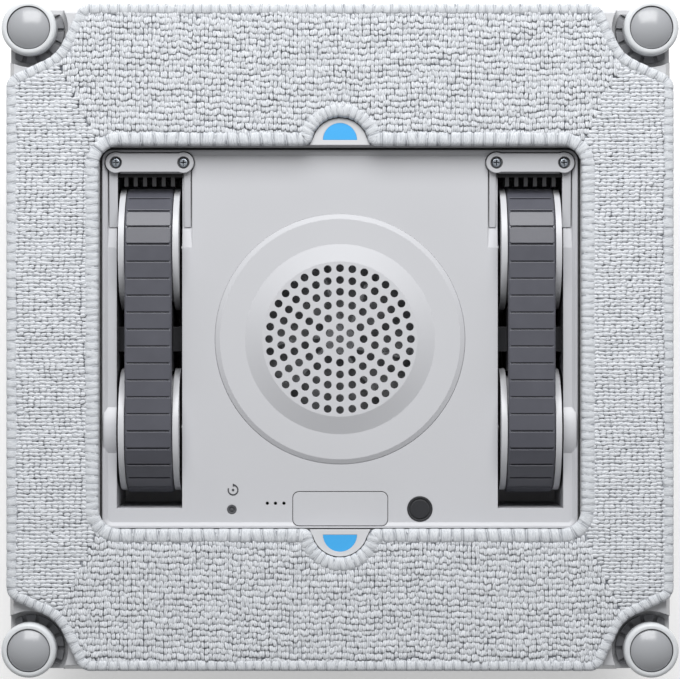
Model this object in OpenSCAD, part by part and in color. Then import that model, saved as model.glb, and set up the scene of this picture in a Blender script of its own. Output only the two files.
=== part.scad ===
/* [Base frame] */
// Width of the square base frame beside the opening for the panel
frame_band = 36.4; // [34.5:0.1:48]
// Corner radius of the base frame
body_r = 9; // [7:0.5:11]
// Height of the base frame, from the rear housing to the plate under the pad
frame_h = 27; // [26:0.5:30]
// Draft of the base frame's flank towards the rear
flank_in = 4; // [2:0.5:6]
// Wall of the casings
wall = 2.5; // [2:0.1:3]
// Thickness of the frame plate under the pad
plate_t = 3; // [2.4:0.1:3.4]

/* [Rear housing] */
// Share of the base frame's width that the square rear housing has
rear_share = 0.8715; // [0.85:0.0005:0.9]
// Height of the rear housing
rear_h = 44; // [43:0.5:48]
// Corner radius of the rear housing
rear_r = 24; // [20:0.5:30]
// Width of the slope round the rear face
rear_slope = 9; // [6:0.5:11]
// Depth of the grip pocket in the rear face
grip_depth = 26; // [22:0.5:27]
// Room between the grip pocket's end and the wells of the tracks
grip_end_gap = 4.1; // [3:0.1:10]
// Width of the grip pocket
grip_w = 64; // [56:1:68]
// Radius of the grip bar
grip_r = 7.5; // [6.5:0.1:8.5]
// Corner radius of the grip pocket
grip_corner_r = 6; // [3:0.5:10]

/* [Underside panel] */
// Width of the opening's edge beside a track's well
side_band = 4.7; // [4.5:0.1:6.5]
// Height of the opening's edge beyond the ends of the belts
end_band = 14.8; // [14.7:0.1:17.6]
// Corner radius of that opening
opening_r = 5; // [3:0.5:7]
// Gap round the panel
panel_gap = 1; // [0.8:0.1:1.3]
// Thickness of the panel
panel_t = 3; // [2.6:0.1:3.4]
// How far the panel lies below the frame plate
panel_drop = 3.5; // [3:0.1:4]
// Height of the raised rim round the panel
rim_h = 1; // [0.5:0.1:1.4]

/* [Fan grille] */
// Outer radius of the grille's dish
dish_r = 50.5; // [49:0.1:52]
// Radius of the raised plateau with the holes
plateau_r = 31.2; // [30.8:0.1:32]
// Rise of the plateau above the panel
plateau_rise = 3.5; // [3:0.1:4]
// Distance between rings of air holes
hole_pitch = 4.75; // [4.5:0.05:4.8]
// Radius of one air hole
hole_r = 1.57; // [1.2:0.01:1.7]
// Rings of air holes round the middle hole
hole_rings = 6; // [4:1:6]

/* [Tracks] */
// Distance of each track from the middle
track_x = 76.8; // [76.4:0.1:77.2]
// Distance between the two wheel axes of a track
wheel_span = 73.4; // [72:0.2:74.4]
// Width of the belt
belt_w = 18.8; // [18:0.1:19.2]
// Outer radius of the belt over its lugs
belt_r = 25.6; // [25.2:0.1:25.8]
// Height of the lugs
lug_h = 1.5; // [1:0.1:1.8]
// Thickness of the belt under the lugs
belt_t = 2; // [1.6:0.1:2.2]
// Number of lugs on a belt
lug_count = 44; // [36:1:48]
// Thickness of a wheel flange
flange_t = 2.4; // [2:0.1:2.5]
// Width of the well that a track runs in
well_w = 26.4; // [26.2:0.1:26.8]
// Radius of the wheel axles
axle_r = 2.5; // [2:0.1:3]

/* [Cleaning pad] */
// How far the square pad reaches past the base frame
pad_over = 0.6; // [0:0.1:1.9]
// Thickness of the pad
pad_t = 4.2; // [3.8:0.1:5]
// How far the pad covers the top and bottom edges of the frame's opening
pad_cover = 0.4; // [0:0.1:1]
// How far the pad is set towards the top edge
pad_shift = 0.7; // [0:0.1:1]
// Radius of the corner notches round the rollers
notch_r = 15; // [14.4:0.1:16]
// Lean of the notch sides from the edge's normal, in degrees
notch_lean = 25; // [20:1:30]

/* [Corner rollers] */
// Distance of a roller's axis in from the base frame's sides
roller_in = 8.4; // [7.9:0.1:8.9]
// Radius of a roller
roller_r = 11; // [10.6:0.1:11.4]
// Height of a roller
roller_h = 7; // [6.6:0.1:7.4]
// Radius of the edge sensor's dome
dome_r = 8.4; // [8:0.1:8.6]
// Travel of the edge sensor's dome
dome_travel = 2.2; // [1.6:0.1:2.3]
// Radius of the collar under a roller
collar_r = 13.3; // [12.6:0.1:13.8]

/* [Buttons] */
// Radius of the power button
power_r = 5.1; // [4.6:0.1:5.4]
// Radius of the reset button
reset_r = 1.9; // [1.6:0.1:2.2]
// Width of the bare label plate
label_w = 38; // [34:0.5:42]
// Height of the bare label plate
label_h = 13.5; // [11:0.1:14]
// Radius of the start button in the rear face
start_r = 9; // [8:0.1:10]

/* [Drive and fan] */
// Radius of the impeller
impeller_r = 36; // [33:0.5:37]
// Number of impeller blades
blade_count = 9; // [7:1:12]
// Radius of the fan motor
fan_motor_r = 17; // [15:0.5:18]
// Radius of a drive motor
drive_motor_r = 7.8; // [7:0.1:8]
// Radius of one battery cell
cell_r = 9.1; // [8.6:0.1:9.2]

/* [Hidden] */
$fn = 48;

// Clearances, overruns and slices
fit = 0.05;
slack = 0.3;
over = 1;
slice = 0.1;
hull_fn = 32;

// Widths that follow from the frame and the tracks
well_wall = 2;
opening_w = 2 * (track_x + well_w / 2 + well_wall + side_band);
opening_h = wheel_span + 2 * (belt_r + end_band);
body_w = opening_w + 2 * frame_band;
rear_w = body_w * rear_share;
grip_l = 2 * (track_x - well_w / 2 - well_wall - wall - grip_end_gap);
pad_w = body_w + 2 * pad_over;
pad_open_h = opening_h - 2 * pad_cover;
roller_span = body_w - 2 * roller_in;

// Heights, from the rest face on the rear housing up to the glass
frame_z = rear_h;
frame_top = frame_z + frame_h;
strip_t = 0.8;
pad_z = frame_top + strip_t;
pad_top = pad_z + pad_t;
panel_top = frame_top - panel_drop;
panel_z = panel_top - panel_t;
track_proud = 0.6;
wheel_z = pad_top + track_proud - belt_r;

// Base frame
flank_rise = 8;
edge_drop = 5;
edge_in = 2;
ledge = 2;
ledge_t = 3;
boss_r = 4;
boss_gap = 1;
screw_r = 1.6;
screw_head_r = 3;
screw_head_h = 2.4;
screw_l = 14;
screw_seat = 6;
rear_face_w = rear_w - 2 * rear_slope;
face_r = rear_r - boss_r;
cover_h = rear_slope * 1.5;
screw_mid = rear_face_w / 2 - boss_r - boss_gap;
screw_corner = rear_face_w / 2 - face_r + (face_r - boss_r - boss_gap) / sqrt(2);
frame_open_w = 2 * (screw_mid - boss_r - boss_gap);
frame_open_r = face_r - boss_r - boss_gap;
SCREW_PLACES = [
    [screw_corner, screw_corner], [-screw_corner, screw_corner],
    [screw_corner, -screw_corner], [-screw_corner, -screw_corner],
    [screw_mid, 0], [-screw_mid, 0], [0, screw_mid], [0, -screw_mid]
];

// Corner rollers, built on the ring's front plane
ring_drop = 0.5;
ring_front = pad_top - ring_drop;
ring_z = ring_front - roller_h;
ring_gap = 3;
ring_round = 1.6;
collar_t = 2;
collar_z = ring_z - ring_gap - collar_t;
pocket_r = notch_r + 1.5 * slack;
post_r = 4.5;
lip_r = 5.6;
lip_h = 0.5;
stem_r = 2.4;
dome_rise = 2.7;
dome_tip = 2;
dome_skirt = 1.2;
dome_wall = 1.2;
dome_gap = 1.3;
web_t = roller_h - dome_rise + dome_tip - dome_skirt - dome_travel - dome_gap;
dome_edge = ring_front + dome_tip - dome_rise;
collar_boss_r = 6;
collar_boss_h = 15.5;
spring_l = 8;
spring_wire = 0.7;
notch_count = 14;
collar_slot_w = 1.6;
collar_slot_l = 2.6;
CORNERS = [[-1, 1], [1, 1], [-1, -1], [1, -1]];

// Rim round the panel
rim_w = 0.9;
rim_slope = 1.3;

// Tracks and their wells
belt_x = belt_w / 2;
band_r = belt_r - lug_h;
loop_r = band_r - belt_t;
hub_r = loop_r - slack;
flange_r = band_r + 0.5 * lug_h;
wheel_x = belt_x + slack + flange_t;
well_top = opening_h / 2 - 10.3;
well_bottom = 8.9 - opening_h / 2;
well_gap = 3;
well_floor = wheel_z - belt_r - well_gap;
shaft_reach = 14;
bridge_y = 5;
bridge_z = 9;
bridge_drop = 1;
block_gap = 2;
block_y = wheel_span / 2 - hub_r - block_gap;
block_z = loop_r - block_gap;
hump_r = 18.9;
hump_l = 5.2;

// Braces over the upper end of each well
brace_y = opening_h / 2 - 6.1;
brace_h = 7.4;
brace_end_r = 4.1;
brace_t = 2.4;
brace_span = 27.2;
brace_shift = 0.2;
brace_recess = 0.8;
brace_rim = 0.5;
ramp_end = wheel_span / 2 + 0.2;
arm_end = ramp_end + 8.2;
arm_root = brace_y - brace_h / 2 + 1.5;
arm_bed = 1.6;
arm_tip_t = 0.5;
arm_root_t = 2;
arm_slit = 0.6;
outer_arm_w = 3.4;
inner_arm_w = 2.6;
arm_gap = 0.8;
brace_screw_r = 1.2;
brace_head_r = 2;
brace_head_h = 1.1;
brace_sink = 0.6;
brace_seat_r = 2.5;
brace_screw_l = 8;
cross_w = 0.5;
cross_l = 2.6;
cross_t = 0.6;
comb_count = 6;
comb_pitch = 3.76;
comb_t = 1.5;
comb_reach = 5.2;
comb_bar = 1.5;
comb_h = 6.5;

// Grille and fan
dish_bevel = 2.1;
dish_rise = 1;
skirt_r = 38.3;
grille_t = 2;
spigot_r = 45;
inlet_r = 34;
scroll_r = impeller_r + 6;
scroll_h = 20.5;
scroll_flange_r = spigot_r + 5;
scroll_wall = 2;
scroll_z = panel_z - scroll_h;
outlet_w = 26;
blade_t = 1.4;
blade_gap = 2;
blade_lean = 30;
hub_post_r = 6;
fan_shaft_r = 1.5;
fan_shaft_l = 10;
fan_bearing_r = 5;

// Drives
gearbox_t = 15.5;
gearbox_w = 36;
gearbox_h = 21;
gearbox_low = 13.5;
gearbox_y = -wheel_span / 2 - 6.3;
drive_motor_l = track_x - well_w / 2 - well_wall - gearbox_t - outlet_w / 2 - scroll_wall - 3.1;
drive_motor_y = -wheel_span / 2 - 16.9;
drive_motor_drop = 3;
pinion_boss_r = 4;
pinion_boss_h = 1.5;

// Buttons, board and plate on the panel
power_place = [32.2, 8.6 - opening_h / 2];
reset_place = [-43.6, 8.4 - opening_h / 2];
icon_place = [-43.1, 16.3 - opening_h / 2];
label_place = [0.1, 8.7 - opening_h / 2];
DOT_PLACES = [for (x = [-29.3, -26, -22.6]) [x, 10.9 - opening_h / 2]];
dot_r = 0.65;
power_travel = 1.2;
reset_travel = 0.8;
button_flange = 1;
button_flange_t = 1.2;
button_ring = 1.4;
button_dish = 0.5;
label_t = 0.6;
label_r = 2.4;
label_gap = 0.3;
icon_r = 2.2;
icon_line = 0.5;
icon_t = 0.15;
icon_dot_r = 0.5;
icon_sweep = 290;
arrow = 1.3;
board_w = grip_l + 2;
board_h = 12.5;
board_y = 8.35 - opening_h / 2;
board_t = 1.6;
board_drop = 5.9;
board_post_r = 1.5;
board_post_in = 2;
switch_r = 1.5;
chip_w = 9;
chip_t = 1.4;

// Rear face, grip tray, gland, tether ring and air outlet
tray_flange = 4;
tray_flange_t = 1.6;
start_place = [0, -(grip_w / 2 + wall + rear_face_w / 2) / 2];
start_recess = 0.6;
light_w = 2.2;
light_t = 0.8;
gland_x = -50;
gland_z = 27;
gland_bore_r = 2.8;
gland_r = 5.6;
gland_flange_r = 7.4;
gland_flange_t = 2;
gland_l = 14;
tether_x = 50;
tether_z = 28;
tether_ring_r = 8;
tether_wire_r = 1.5;
tether_reach = 5.2;
ear_t = 3;
ear_r = 3.6;
vent_count = 15;
vent_pitch = 6;
vent_w = 2.6;
vent_h = 16;
vent_z = 18;
battery_y = grip_w / 2 + wall + tray_flange + 20.5;
cell_l = grip_l + 6;
cell_gap = 0.4;
battery_foot = 1;

// Tabs and marks at the top and bottom of the pad's opening
tab_r = 11.2;
tab_flare = 12.4;
tab_flare_h = 3.2;
tab_t = 2.4;
mark_r = 6.8;
mark_t = 0.8;
mark_gap = 0.05;
mark_in = 2.4;

// Strips of hook tape under the pad
strip_w = 12;
strip_l = 160;

// Pad edge
pad_edge_r = 6;
pad_open_r = 8;
pad_round_shares = [[0, 0.3], [0.18, 0], [0.62, 0], [0.86, 0.22], [1, 0.62]];
pad_round = 1.8;
arc_steps = 6;

// A rounded rectangle with true arcs
module rounded(w, h, r) {
    square([w - 2 * r, h], center = true);
    square([w, h - 2 * r], center = true);
    for (sx = [-1, 1], sy = [-1, 1])
        translate([sx * (w / 2 - r), sy * (h / 2 - r)]) circle(r);
}

module slab(w, h, r, t) {
    linear_extrude(t) rounded(w, h, r);
}

module tube(outer, inner, h) {
    difference() {
        cylinder(r = outer, h = h);
        translate([0, 0, -over]) cylinder(r = inner, h = h + 2 * over);
    }
}

// A cylinder along X that starts at x
module along_x(x, r, l) {
    translate([x, 0, 0]) rotate([0, 90, 0]) cylinder(r = r, h = l);
}

module at_corners() {
    for (c = CORNERS) translate([c[0] * roller_span / 2, c[1] * roller_span / 2, 0]) children();
}

// Places a left-hand track piece on its own side
module on_side(side) {
    if (side < 0) children();
    else mirror([1, 0, 0]) children();
}

module frame_block() {
    hull() {
        translate([0, 0, frame_z])
            slab(body_w - 2 * flank_in, body_w - 2 * flank_in, body_r, slice, $fn = hull_fn);
        translate([0, 0, frame_z + flank_rise])
            slab(body_w, body_w, body_r, frame_h - flank_rise - edge_drop, $fn = hull_fn);
        translate([0, 0, frame_top - slice])
            slab(body_w - 2 * edge_in, body_w - 2 * edge_in, body_r - edge_in, slice, $fn = hull_fn);
    }
}

module base_frame() {
    cavity_w = body_w - 2 * (flank_in + wall);
    cavity_h = frame_h - wall - plate_t;
    color([0.80, 0.80, 0.82]) {
        difference() {
            union() {
                difference() {
                    frame_block();
                    difference() {
                        translate([0, 0, frame_z + wall]) slab(cavity_w, cavity_w, body_r, cavity_h);
                        at_corners() translate([0, 0, frame_z]) cylinder(r = pocket_r + wall, h = frame_h);
                    }
                }
                translate([0, 0, panel_z - ledge_t])
                    slab(opening_w + 2 * wall, opening_h + 2 * wall, opening_r,
                         frame_top - panel_z + ledge_t);
                for (p = SCREW_PLACES)
                    translate([p[0], p[1], frame_z]) cylinder(r = boss_r, h = screw_l - screw_seat + over);
            }
            translate([0, 0, panel_z]) slab(opening_w, opening_h, opening_r, frame_h);
            translate([0, 0, frame_z + wall])
                slab(opening_w - 2 * ledge, opening_h - 2 * ledge, opening_r, frame_h);
            translate([0, 0, frame_z - over])
                slab(frame_open_w, frame_open_w, frame_open_r, wall + 2 * over);
            at_corners() {
                translate([0, 0, collar_z]) cylinder(r = pocket_r, h = frame_h);
                translate([0, 0, collar_z - collar_boss_h - slack])
                    cylinder(r = collar_boss_r + fit, h = frame_h);
            }
            for (p = SCREW_PLACES)
                translate([p[0], p[1], frame_z - over])
                    cylinder(r = screw_r + fit, h = screw_l - screw_seat + over + slack);
        }
    }
}

module cover_block(inset) {
    hull() {
        translate([0, 0, inset])
            slab(rear_face_w - 2 * inset, rear_face_w - 2 * inset, face_r - inset, slice, $fn = hull_fn);
        translate([0, 0, rear_slope / 2 + inset / 2])
            slab(rear_w - rear_slope / 2 - 2 * inset, rear_w - rear_slope / 2 - 2 * inset,
                 rear_r - rear_slope / 4 - inset, slice, $fn = hull_fn);
        translate([0, 0, cover_h - slice])
            slab(rear_w - 2 * inset, rear_w - 2 * inset, rear_r - inset,
                 inset > 0 ? slice + over : slice, $fn = hull_fn);
    }
}

module tether_ears() {
    for (side = [-1, 1])
        translate([tether_x + side * (tether_ring_r + tether_wire_r + ear_t / 2 + slack),
                   rear_w / 2, tether_z])
            rotate([0, 90, 0]) {
                translate([0, tether_reach, -ear_t / 2]) cylinder(r = ear_r, h = ear_t);
                translate([-ear_r, -wall / 2, -ear_t / 2]) cube([2 * ear_r, tether_reach + wall / 2, ear_t]);
            }
}

// The wall of the housing, between the cover and the base frame
module rear_housing() {
    color([0.80, 0.80, 0.82])
        difference() {
            union() {
                difference() {
                    translate([0, 0, cover_h]) slab(rear_w, rear_w, rear_r, rear_h - cover_h);
                    slab(rear_w - 2 * wall, rear_w - 2 * wall, rear_r - wall, rear_h + over);
                }
                tether_ears();
            }
            translate([tether_x - 2 * tether_ring_r, rear_w / 2 + tether_reach, tether_z])
                rotate([0, 90, 0]) cylinder(r = tether_wire_r + fit, h = 4 * tether_ring_r);
            translate([gland_x, rear_w / 2 + over, gland_z])
                rotate([90, 0, 0]) cylinder(r = gland_r + fit, h = wall + 2 * over);
            for (i = [0 : vent_count - 1])
                translate([(i - (vent_count - 1) / 2) * vent_pitch - vent_w / 2, -rear_w / 2 - over, vent_z])
                    cube([vent_w, wall + 2 * over, vent_h]);
        }
}

// The shallow cover that closes the housing's rear, with the posts that its screws go through
module rear_cover() {
    color([0.80, 0.80, 0.82])
        difference() {
            union() {
                difference() {
                    cover_block(0);
                    cover_block(wall);
                }
                for (p = SCREW_PLACES) translate([p[0], p[1], 0]) cylinder(r = boss_r, h = rear_h);
                translate([start_place[0], start_place[1], 0])
                    cylinder(r = start_r + light_w + 2 * slack + wall, h = wall + light_t);
            }
            translate([0, 0, -over])
                slab(grip_l + 2 * (wall + fit), grip_w + 2 * (wall + fit), grip_corner_r + wall + fit,
                     wall + 2 * over);
            for (p = SCREW_PLACES) translate([p[0], p[1], -over]) {
                cylinder(r = screw_r + fit, h = rear_h + 2 * over);
                cylinder(r = screw_head_r + slack, h = rear_h - screw_seat + over);
            }
            translate([start_place[0], start_place[1], -over]) {
                cylinder(r = start_r + fit, h = wall + light_t + 2 * over);
                cylinder(r = start_r + light_w + slack, h = light_t + over);
            }
        }
}

module housing_screws() {
    color([0.35, 0.35, 0.37])
        for (p = SCREW_PLACES) translate([p[0], p[1], rear_h - screw_seat]) difference() {
            union() {
                translate([0, 0, -screw_head_h]) cylinder(r = screw_head_r, h = screw_head_h);
                cylinder(r = screw_r, h = screw_l);
            }
            for (turn = [0, 90]) rotate(turn)
                translate([-cross_l / 2, -cross_w / 2, -screw_head_h - over])
                    cube([cross_l, cross_w, cross_t + over]);
        }
}

// The grip pocket, a moulded tray whose flange lies on the rear cover
module grip_tray() {
    color([0.80, 0.80, 0.82])
        difference() {
            union() {
                slab(grip_l + 2 * wall, grip_w + 2 * wall, grip_corner_r + wall, grip_depth + wall);
                translate([0, 0, wall])
                    slab(grip_l + 2 * (wall + tray_flange), grip_w + 2 * (wall + tray_flange),
                         grip_corner_r + wall + tray_flange, tray_flange_t);
            }
            translate([0, 0, -over]) slab(grip_l, grip_w, grip_corner_r, grip_depth + over);
        }
}

module carry_handle() {
    color([0.25, 0.26, 0.28])
        translate([0, 0, grip_r + start_recess]) along_x(-grip_l / 2, grip_r, grip_l);
}

module cord_gland() {
    color([0.22, 0.22, 0.24])
        translate([gland_x, rear_w / 2 + gland_flange_t, gland_z]) rotate([90, 0, 0])
            difference() {
                union() {
                    cylinder(r = gland_flange_r, h = gland_flange_t);
                    cylinder(r = gland_r, h = gland_l);
                }
                translate([0, 0, -over]) cylinder(r = gland_bore_r, h = gland_l + 2 * over);
            }
}

module tether_ring() {
    pin_l = 2 * (tether_ring_r + tether_wire_r + ear_t + slack);
    color([0.75, 0.76, 0.78])
        translate([tether_x, rear_w / 2 + tether_reach, tether_z]) {
            along_x(-pin_l / 2, tether_wire_r, pin_l);
            rotate([90, 0, 0]) rotate([0, 0, 180]) rotate_extrude(angle = 180)
                translate([tether_ring_r, 0]) circle(tether_wire_r);
        }
}

module start_button() {
    stem_h = wall + light_t - start_recess + slack;
    color([0.30, 0.31, 0.33])
        translate([start_place[0], start_place[1], start_recess]) difference() {
            union() {
                cylinder(r = start_r, h = stem_h + button_flange_t);
                translate([0, 0, stem_h]) cylinder(r = start_r + button_flange, h = button_flange_t);
            }
            translate([0, 0, -over]) cylinder(r = start_r - button_ring, h = button_dish + over);
        }
}

module status_light() {
    color([0.55, 0.80, 0.95])
        translate([start_place[0], start_place[1], 0]) tube(start_r + light_w, start_r + slack, light_t);
}

module left_wells(outer) {
    grow = outer ? well_wall : 0;
    top = outer ? panel_z : panel_top + over;
    low = outer ? well_floor - well_wall : well_floor;
    translate([-track_x - well_w / 2 - grow, well_bottom - grow, low])
        cube([well_w + 2 * grow, well_top - well_bottom + 2 * grow, top - low]);
}

module brace_outline(grow) {
    translate([-track_x + brace_shift, brace_y]) {
        square([brace_span, brace_h + 2 * grow], center = true);
        for (end = [-1, 1]) translate([end * brace_span / 2, 0]) circle(brace_end_r + grow);
    }
}

// Arms run down from the brace on both sides of the well, in beds that end in a ramp
module beside_well(outer_grow, well_grow) {
    low = [-track_x - well_w / 2 - outer_arm_w + arm_gap / 2, -track_x + well_w / 2 + arm_gap - well_grow];
    wide = [outer_arm_w + well_grow, inner_arm_w + well_grow];
    translate([low[0] - outer_grow, 0, 0])
        rotate([90, 0, 90]) linear_extrude(wide[0] + outer_grow) children();
    translate([low[1], 0, 0])
        rotate([90, 0, 90]) linear_extrude(wide[1] + outer_grow) children();
}

module arm_profile() {
    low = panel_top - arm_bed;
    polygon([[arm_end, low], [arm_root, low], [arm_root, low + arm_root_t], [arm_end, low + arm_tip_t]]);
}

module bed_profile() {
    low = panel_top - arm_bed;
    polygon([[ramp_end, panel_top + over], [ramp_end, panel_top], [arm_end, low],
             [arm_root, low], [arm_root, panel_top + over]]);
}

module left_panel_adds() {
    left_wells(true);
    for (side = [-1, 1])
        translate([-track_x + brace_shift + side * brace_span / 2, brace_y, panel_top - brace_screw_l])
            cylinder(r = 2 * brace_screw_r, h = brace_screw_l - panel_t);
    intersection() {
        translate([0, -wheel_span / 2, wheel_z]) along_x(-track_x - well_w / 2 - hump_l, hump_r, hump_l);
        translate([-opening_w / 2, -opening_h / 2, panel_z]) cube([opening_w, opening_h, frame_h]);
    }
}

module left_panel_cuts() {
    left_wells(false);
    translate([0, 0, panel_top - brace_recess]) linear_extrude(frame_h) brace_outline(brace_rim);
    beside_well(arm_slit, over) bed_profile();
    for (side = [-1, 1])
        translate([-track_x + brace_shift + side * brace_span / 2, brace_y, panel_top - brace_screw_l])
            cylinder(r = brace_screw_r + fit, h = brace_screw_l + over);
    for (y = [-wheel_span / 2, wheel_span / 2])
        translate([-over, y, wheel_z])
            along_x(-track_x - well_w / 2 - well_wall, axle_r + fit, well_w + 2 * (well_wall + over));
}

// The panel's plate, with its rim standing round a shallow tray
module panel_tray() {
    w = opening_w - 2 * panel_gap;
    h = opening_h - 2 * panel_gap;
    r = opening_r - panel_gap;
    difference() {
        translate([0, 0, panel_z]) slab(w, h, r, panel_t + rim_h);
        hull() {
            inner = rim_w + rim_slope;
            translate([0, 0, panel_top]) slab(w - 2 * inner, h - 2 * inner, r - inner, slice, $fn = hull_fn);
            translate([0, 0, panel_top + rim_h])
                slab(w - 2 * rim_w, h - 2 * rim_w, r - rim_w, over, $fn = hull_fn);
        }
    }
}

module underside_panel() {
    color([0.78, 0.78, 0.80])
        difference() {
            union() {
                panel_tray();
                left_panel_adds();
                mirror([1, 0, 0]) left_panel_adds();
            }
            left_panel_cuts();
            mirror([1, 0, 0]) left_panel_cuts();
            translate([0, 0, panel_z - over]) cylinder(r = spigot_r + fit, h = panel_t + 2 * over);
            translate([power_place[0], power_place[1], panel_z - over])
                cylinder(r = power_r + fit, h = panel_t + 2 * over);
            translate([reset_place[0], reset_place[1], panel_z - over])
                cylinder(r = reset_r + fit, h = panel_t + 2 * over);
            for (p = DOT_PLACES)
                translate([p[0], p[1], panel_z - over]) cylinder(r = dot_r, h = panel_t + 2 * over);
            translate([label_place[0], label_place[1], panel_top - label_t])
                slab(label_w + 2 * label_gap, label_h + 2 * label_gap, label_r + label_gap, label_t + over);
        }
}

module label_plate() {
    color([0.80, 0.80, 0.82])
        translate([label_place[0], label_place[1], panel_top - label_t])
            slab(label_w, label_h, label_r, label_t);
}

module reset_icon() {
    color([0.40, 0.40, 0.42])
        translate([icon_place[0], icon_place[1], panel_top]) {
            cylinder(r = icon_dot_r, h = icon_t);
            rotate(90 + (360 - icon_sweep)) rotate_extrude(angle = icon_sweep)
                translate([icon_r - icon_line, 0]) square([icon_line, icon_t]);
            translate([-slice, icon_r - icon_line / 2, 0]) linear_extrude(icon_t)
                polygon([[0, arrow / 2], [0, -arrow / 2], [arrow, 0]]);
        }
}

// A push button whose flange stops under the panel
module push_button(place, r, proud) {
    body_l = panel_t + slack + proud;
    color([0.25, 0.26, 0.28])
        translate([place[0], place[1], panel_z - slack]) difference() {
            union() {
                cylinder(r = r, h = body_l);
                translate([0, 0, -button_flange_t]) cylinder(r = r + button_flange, h = button_flange_t);
            }
            translate([0, 0, body_l - button_dish])
                tube(r - button_ring / 2, r - button_ring, button_dish + over);
        }
}

module power_button() {
    push_button(power_place, power_r, icon_t);
}

module reset_button() {
    push_button(reset_place, reset_r, 0);
}

// The grille's cross section, as half of its outline
function dish_points() = let (low = panel_top, high = panel_top + plateau_rise, mid = panel_top + dish_rise) [
    [0, high - grille_t], [plateau_r - grille_t / 2, high - grille_t], [skirt_r - grille_t, low],
    [skirt_r - grille_t, panel_z], [spigot_r, panel_z], [spigot_r, low], [dish_r, low],
    [dish_r - dish_bevel, mid], [skirt_r, mid], [plateau_r, high], [0, high]
];

module fan_grille() {
    color([0.80, 0.80, 0.82])
        difference() {
            rotate_extrude($fn = 96) polygon(dish_points());
            translate([0, 0, panel_z]) {
                cylinder(r = hole_r, h = frame_h);
                for (ring = [1 : hole_rings], i = [0 : 6 * ring - 1])
                    rotate(90 + i * 60 / ring) translate([ring * hole_pitch, 0, 0])
                        cylinder(r = hole_r, h = frame_h, $fn = 24);
            }
        }
}

module fan_scroll() {
    color([0.30, 0.31, 0.33])
        translate([0, 0, scroll_z]) difference() {
            union() {
                cylinder(r = scroll_r, h = scroll_h);
                translate([0, 0, scroll_h - scroll_wall]) cylinder(r = scroll_flange_r, h = scroll_wall);
                translate([-outlet_w / 2 - scroll_wall, -scroll_flange_r, 0])
                    cube([outlet_w + 2 * scroll_wall, scroll_flange_r, scroll_h - scroll_wall]);
            }
            translate([0, 0, scroll_wall])
                cylinder(r = scroll_r - scroll_wall, h = scroll_h - 2 * scroll_wall);
            cylinder(r = inlet_r, h = scroll_h + over);
            translate([-outlet_w / 2, -scroll_flange_r - over, scroll_wall])
                cube([outlet_w, scroll_flange_r - inlet_r / 2, scroll_h - 2 * scroll_wall - over]);
        }
    color([0.30, 0.31, 0.33])
        translate([0, 0, scroll_z]) tube(inlet_r + over, fan_bearing_r + slack, scroll_wall);
}

module impeller() {
    low = scroll_z + scroll_wall + blade_gap;
    high = panel_z - scroll_wall - blade_gap;
    blade_h = high - low - blade_t;
    color([0.85, 0.85, 0.86]) {
        translate([0, 0, low]) {
            cylinder(r = impeller_r, h = blade_t);
            cylinder(r = hub_post_r, h = high - low);
            for (i = [0 : blade_count - 1]) rotate(i * 360 / blade_count)
                intersection() {
                    translate([hub_post_r - over, 0, blade_t / 2]) rotate(blade_lean)
                        translate([0, -blade_t / 2, 0]) cube([impeller_r, blade_t, blade_h]);
                    cylinder(r = impeller_r - over, h = 2 * blade_h);
                }
        }
        translate([0, 0, scroll_z - fan_shaft_l])
            cylinder(r = fan_shaft_r, h = low - scroll_z + fan_shaft_l + slice);
    }
}

module fan_motor() {
    motor_z = grip_depth + wall + slack;
    color([0.55, 0.56, 0.58])
        difference() {
            union() {
                translate([0, 0, motor_z]) cylinder(r = fan_motor_r, h = scroll_z - motor_z);
                translate([0, 0, motor_z]) cylinder(r = fan_bearing_r, h = scroll_z + scroll_wall - motor_z);
            }
            translate([0, 0, scroll_z - fan_shaft_l - slack])
                cylinder(r = fan_shaft_r + fit, h = fan_shaft_l + scroll_wall + slack + over);
        }
}

module track_frame(side) {
    color([0.24, 0.24, 0.26])
        on_side(side) translate([-track_x, 0, wheel_z]) {
            translate([-well_w / 2, -bridge_y, -bridge_z - bridge_drop])
                cube([well_w, 2 * bridge_y, 2 * bridge_z]);
            translate([-belt_x + slack, -block_y, -block_z])
                cube([belt_w - 2 * slack, 2 * block_y, 2 * block_z]);
        }
}

module track_brace(side) {
    color([0.80, 0.80, 0.82])
        on_side(side) difference() {
            union() {
                translate([0, 0, panel_top - brace_recess])
                    linear_extrude(brace_recess + brace_t) brace_outline(0);
                beside_well(0, 0) arm_profile();
            }
            for (end = [-1, 1])
                translate([-track_x + brace_shift + end * brace_span / 2, brace_y,
                           panel_top - brace_recess - over]) {
                    cylinder(r = brace_screw_r + fit, h = frame_h);
                    translate([0, 0, over + brace_recess + brace_t - brace_sink - brace_head_h])
                        cylinder(r = brace_seat_r, h = frame_h);
                }
        }
}

module brace_screws() {
    head_z = panel_top + brace_t - brace_sink - brace_head_h;
    color([0.45, 0.45, 0.47])
        for (side = [-1, 1], end = [-1, 1])
            translate([side * (track_x - brace_shift) + end * brace_span / 2, brace_y, head_z]) difference() {
                union() {
                    cylinder(r = brace_head_r, h = brace_head_h);
                    translate([0, 0, -brace_screw_l + over]) cylinder(r = brace_screw_r, h = brace_screw_l);
                }
                for (turn = [0, 90]) rotate(turn)
                    translate([-cross_l / 2, -cross_w / 2, brace_head_h - cross_t])
                        cube([cross_l, cross_w, cross_t + over]);
            }
}

module track_scrapers() {
    color([0.20, 0.20, 0.22])
        for (side = [-1, 1]) translate([side * track_x, well_top, panel_top - comb_h - over]) {
            translate([-well_w / 2, -comb_bar, 0]) cube([well_w, comb_bar, comb_h]);
            for (i = [0 : comb_count - 1])
                translate([(i - (comb_count - 1) / 2) * comb_pitch - comb_t / 2, -comb_reach, 0])
                    cube([comb_t, comb_reach, comb_h]);
        }
}

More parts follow.
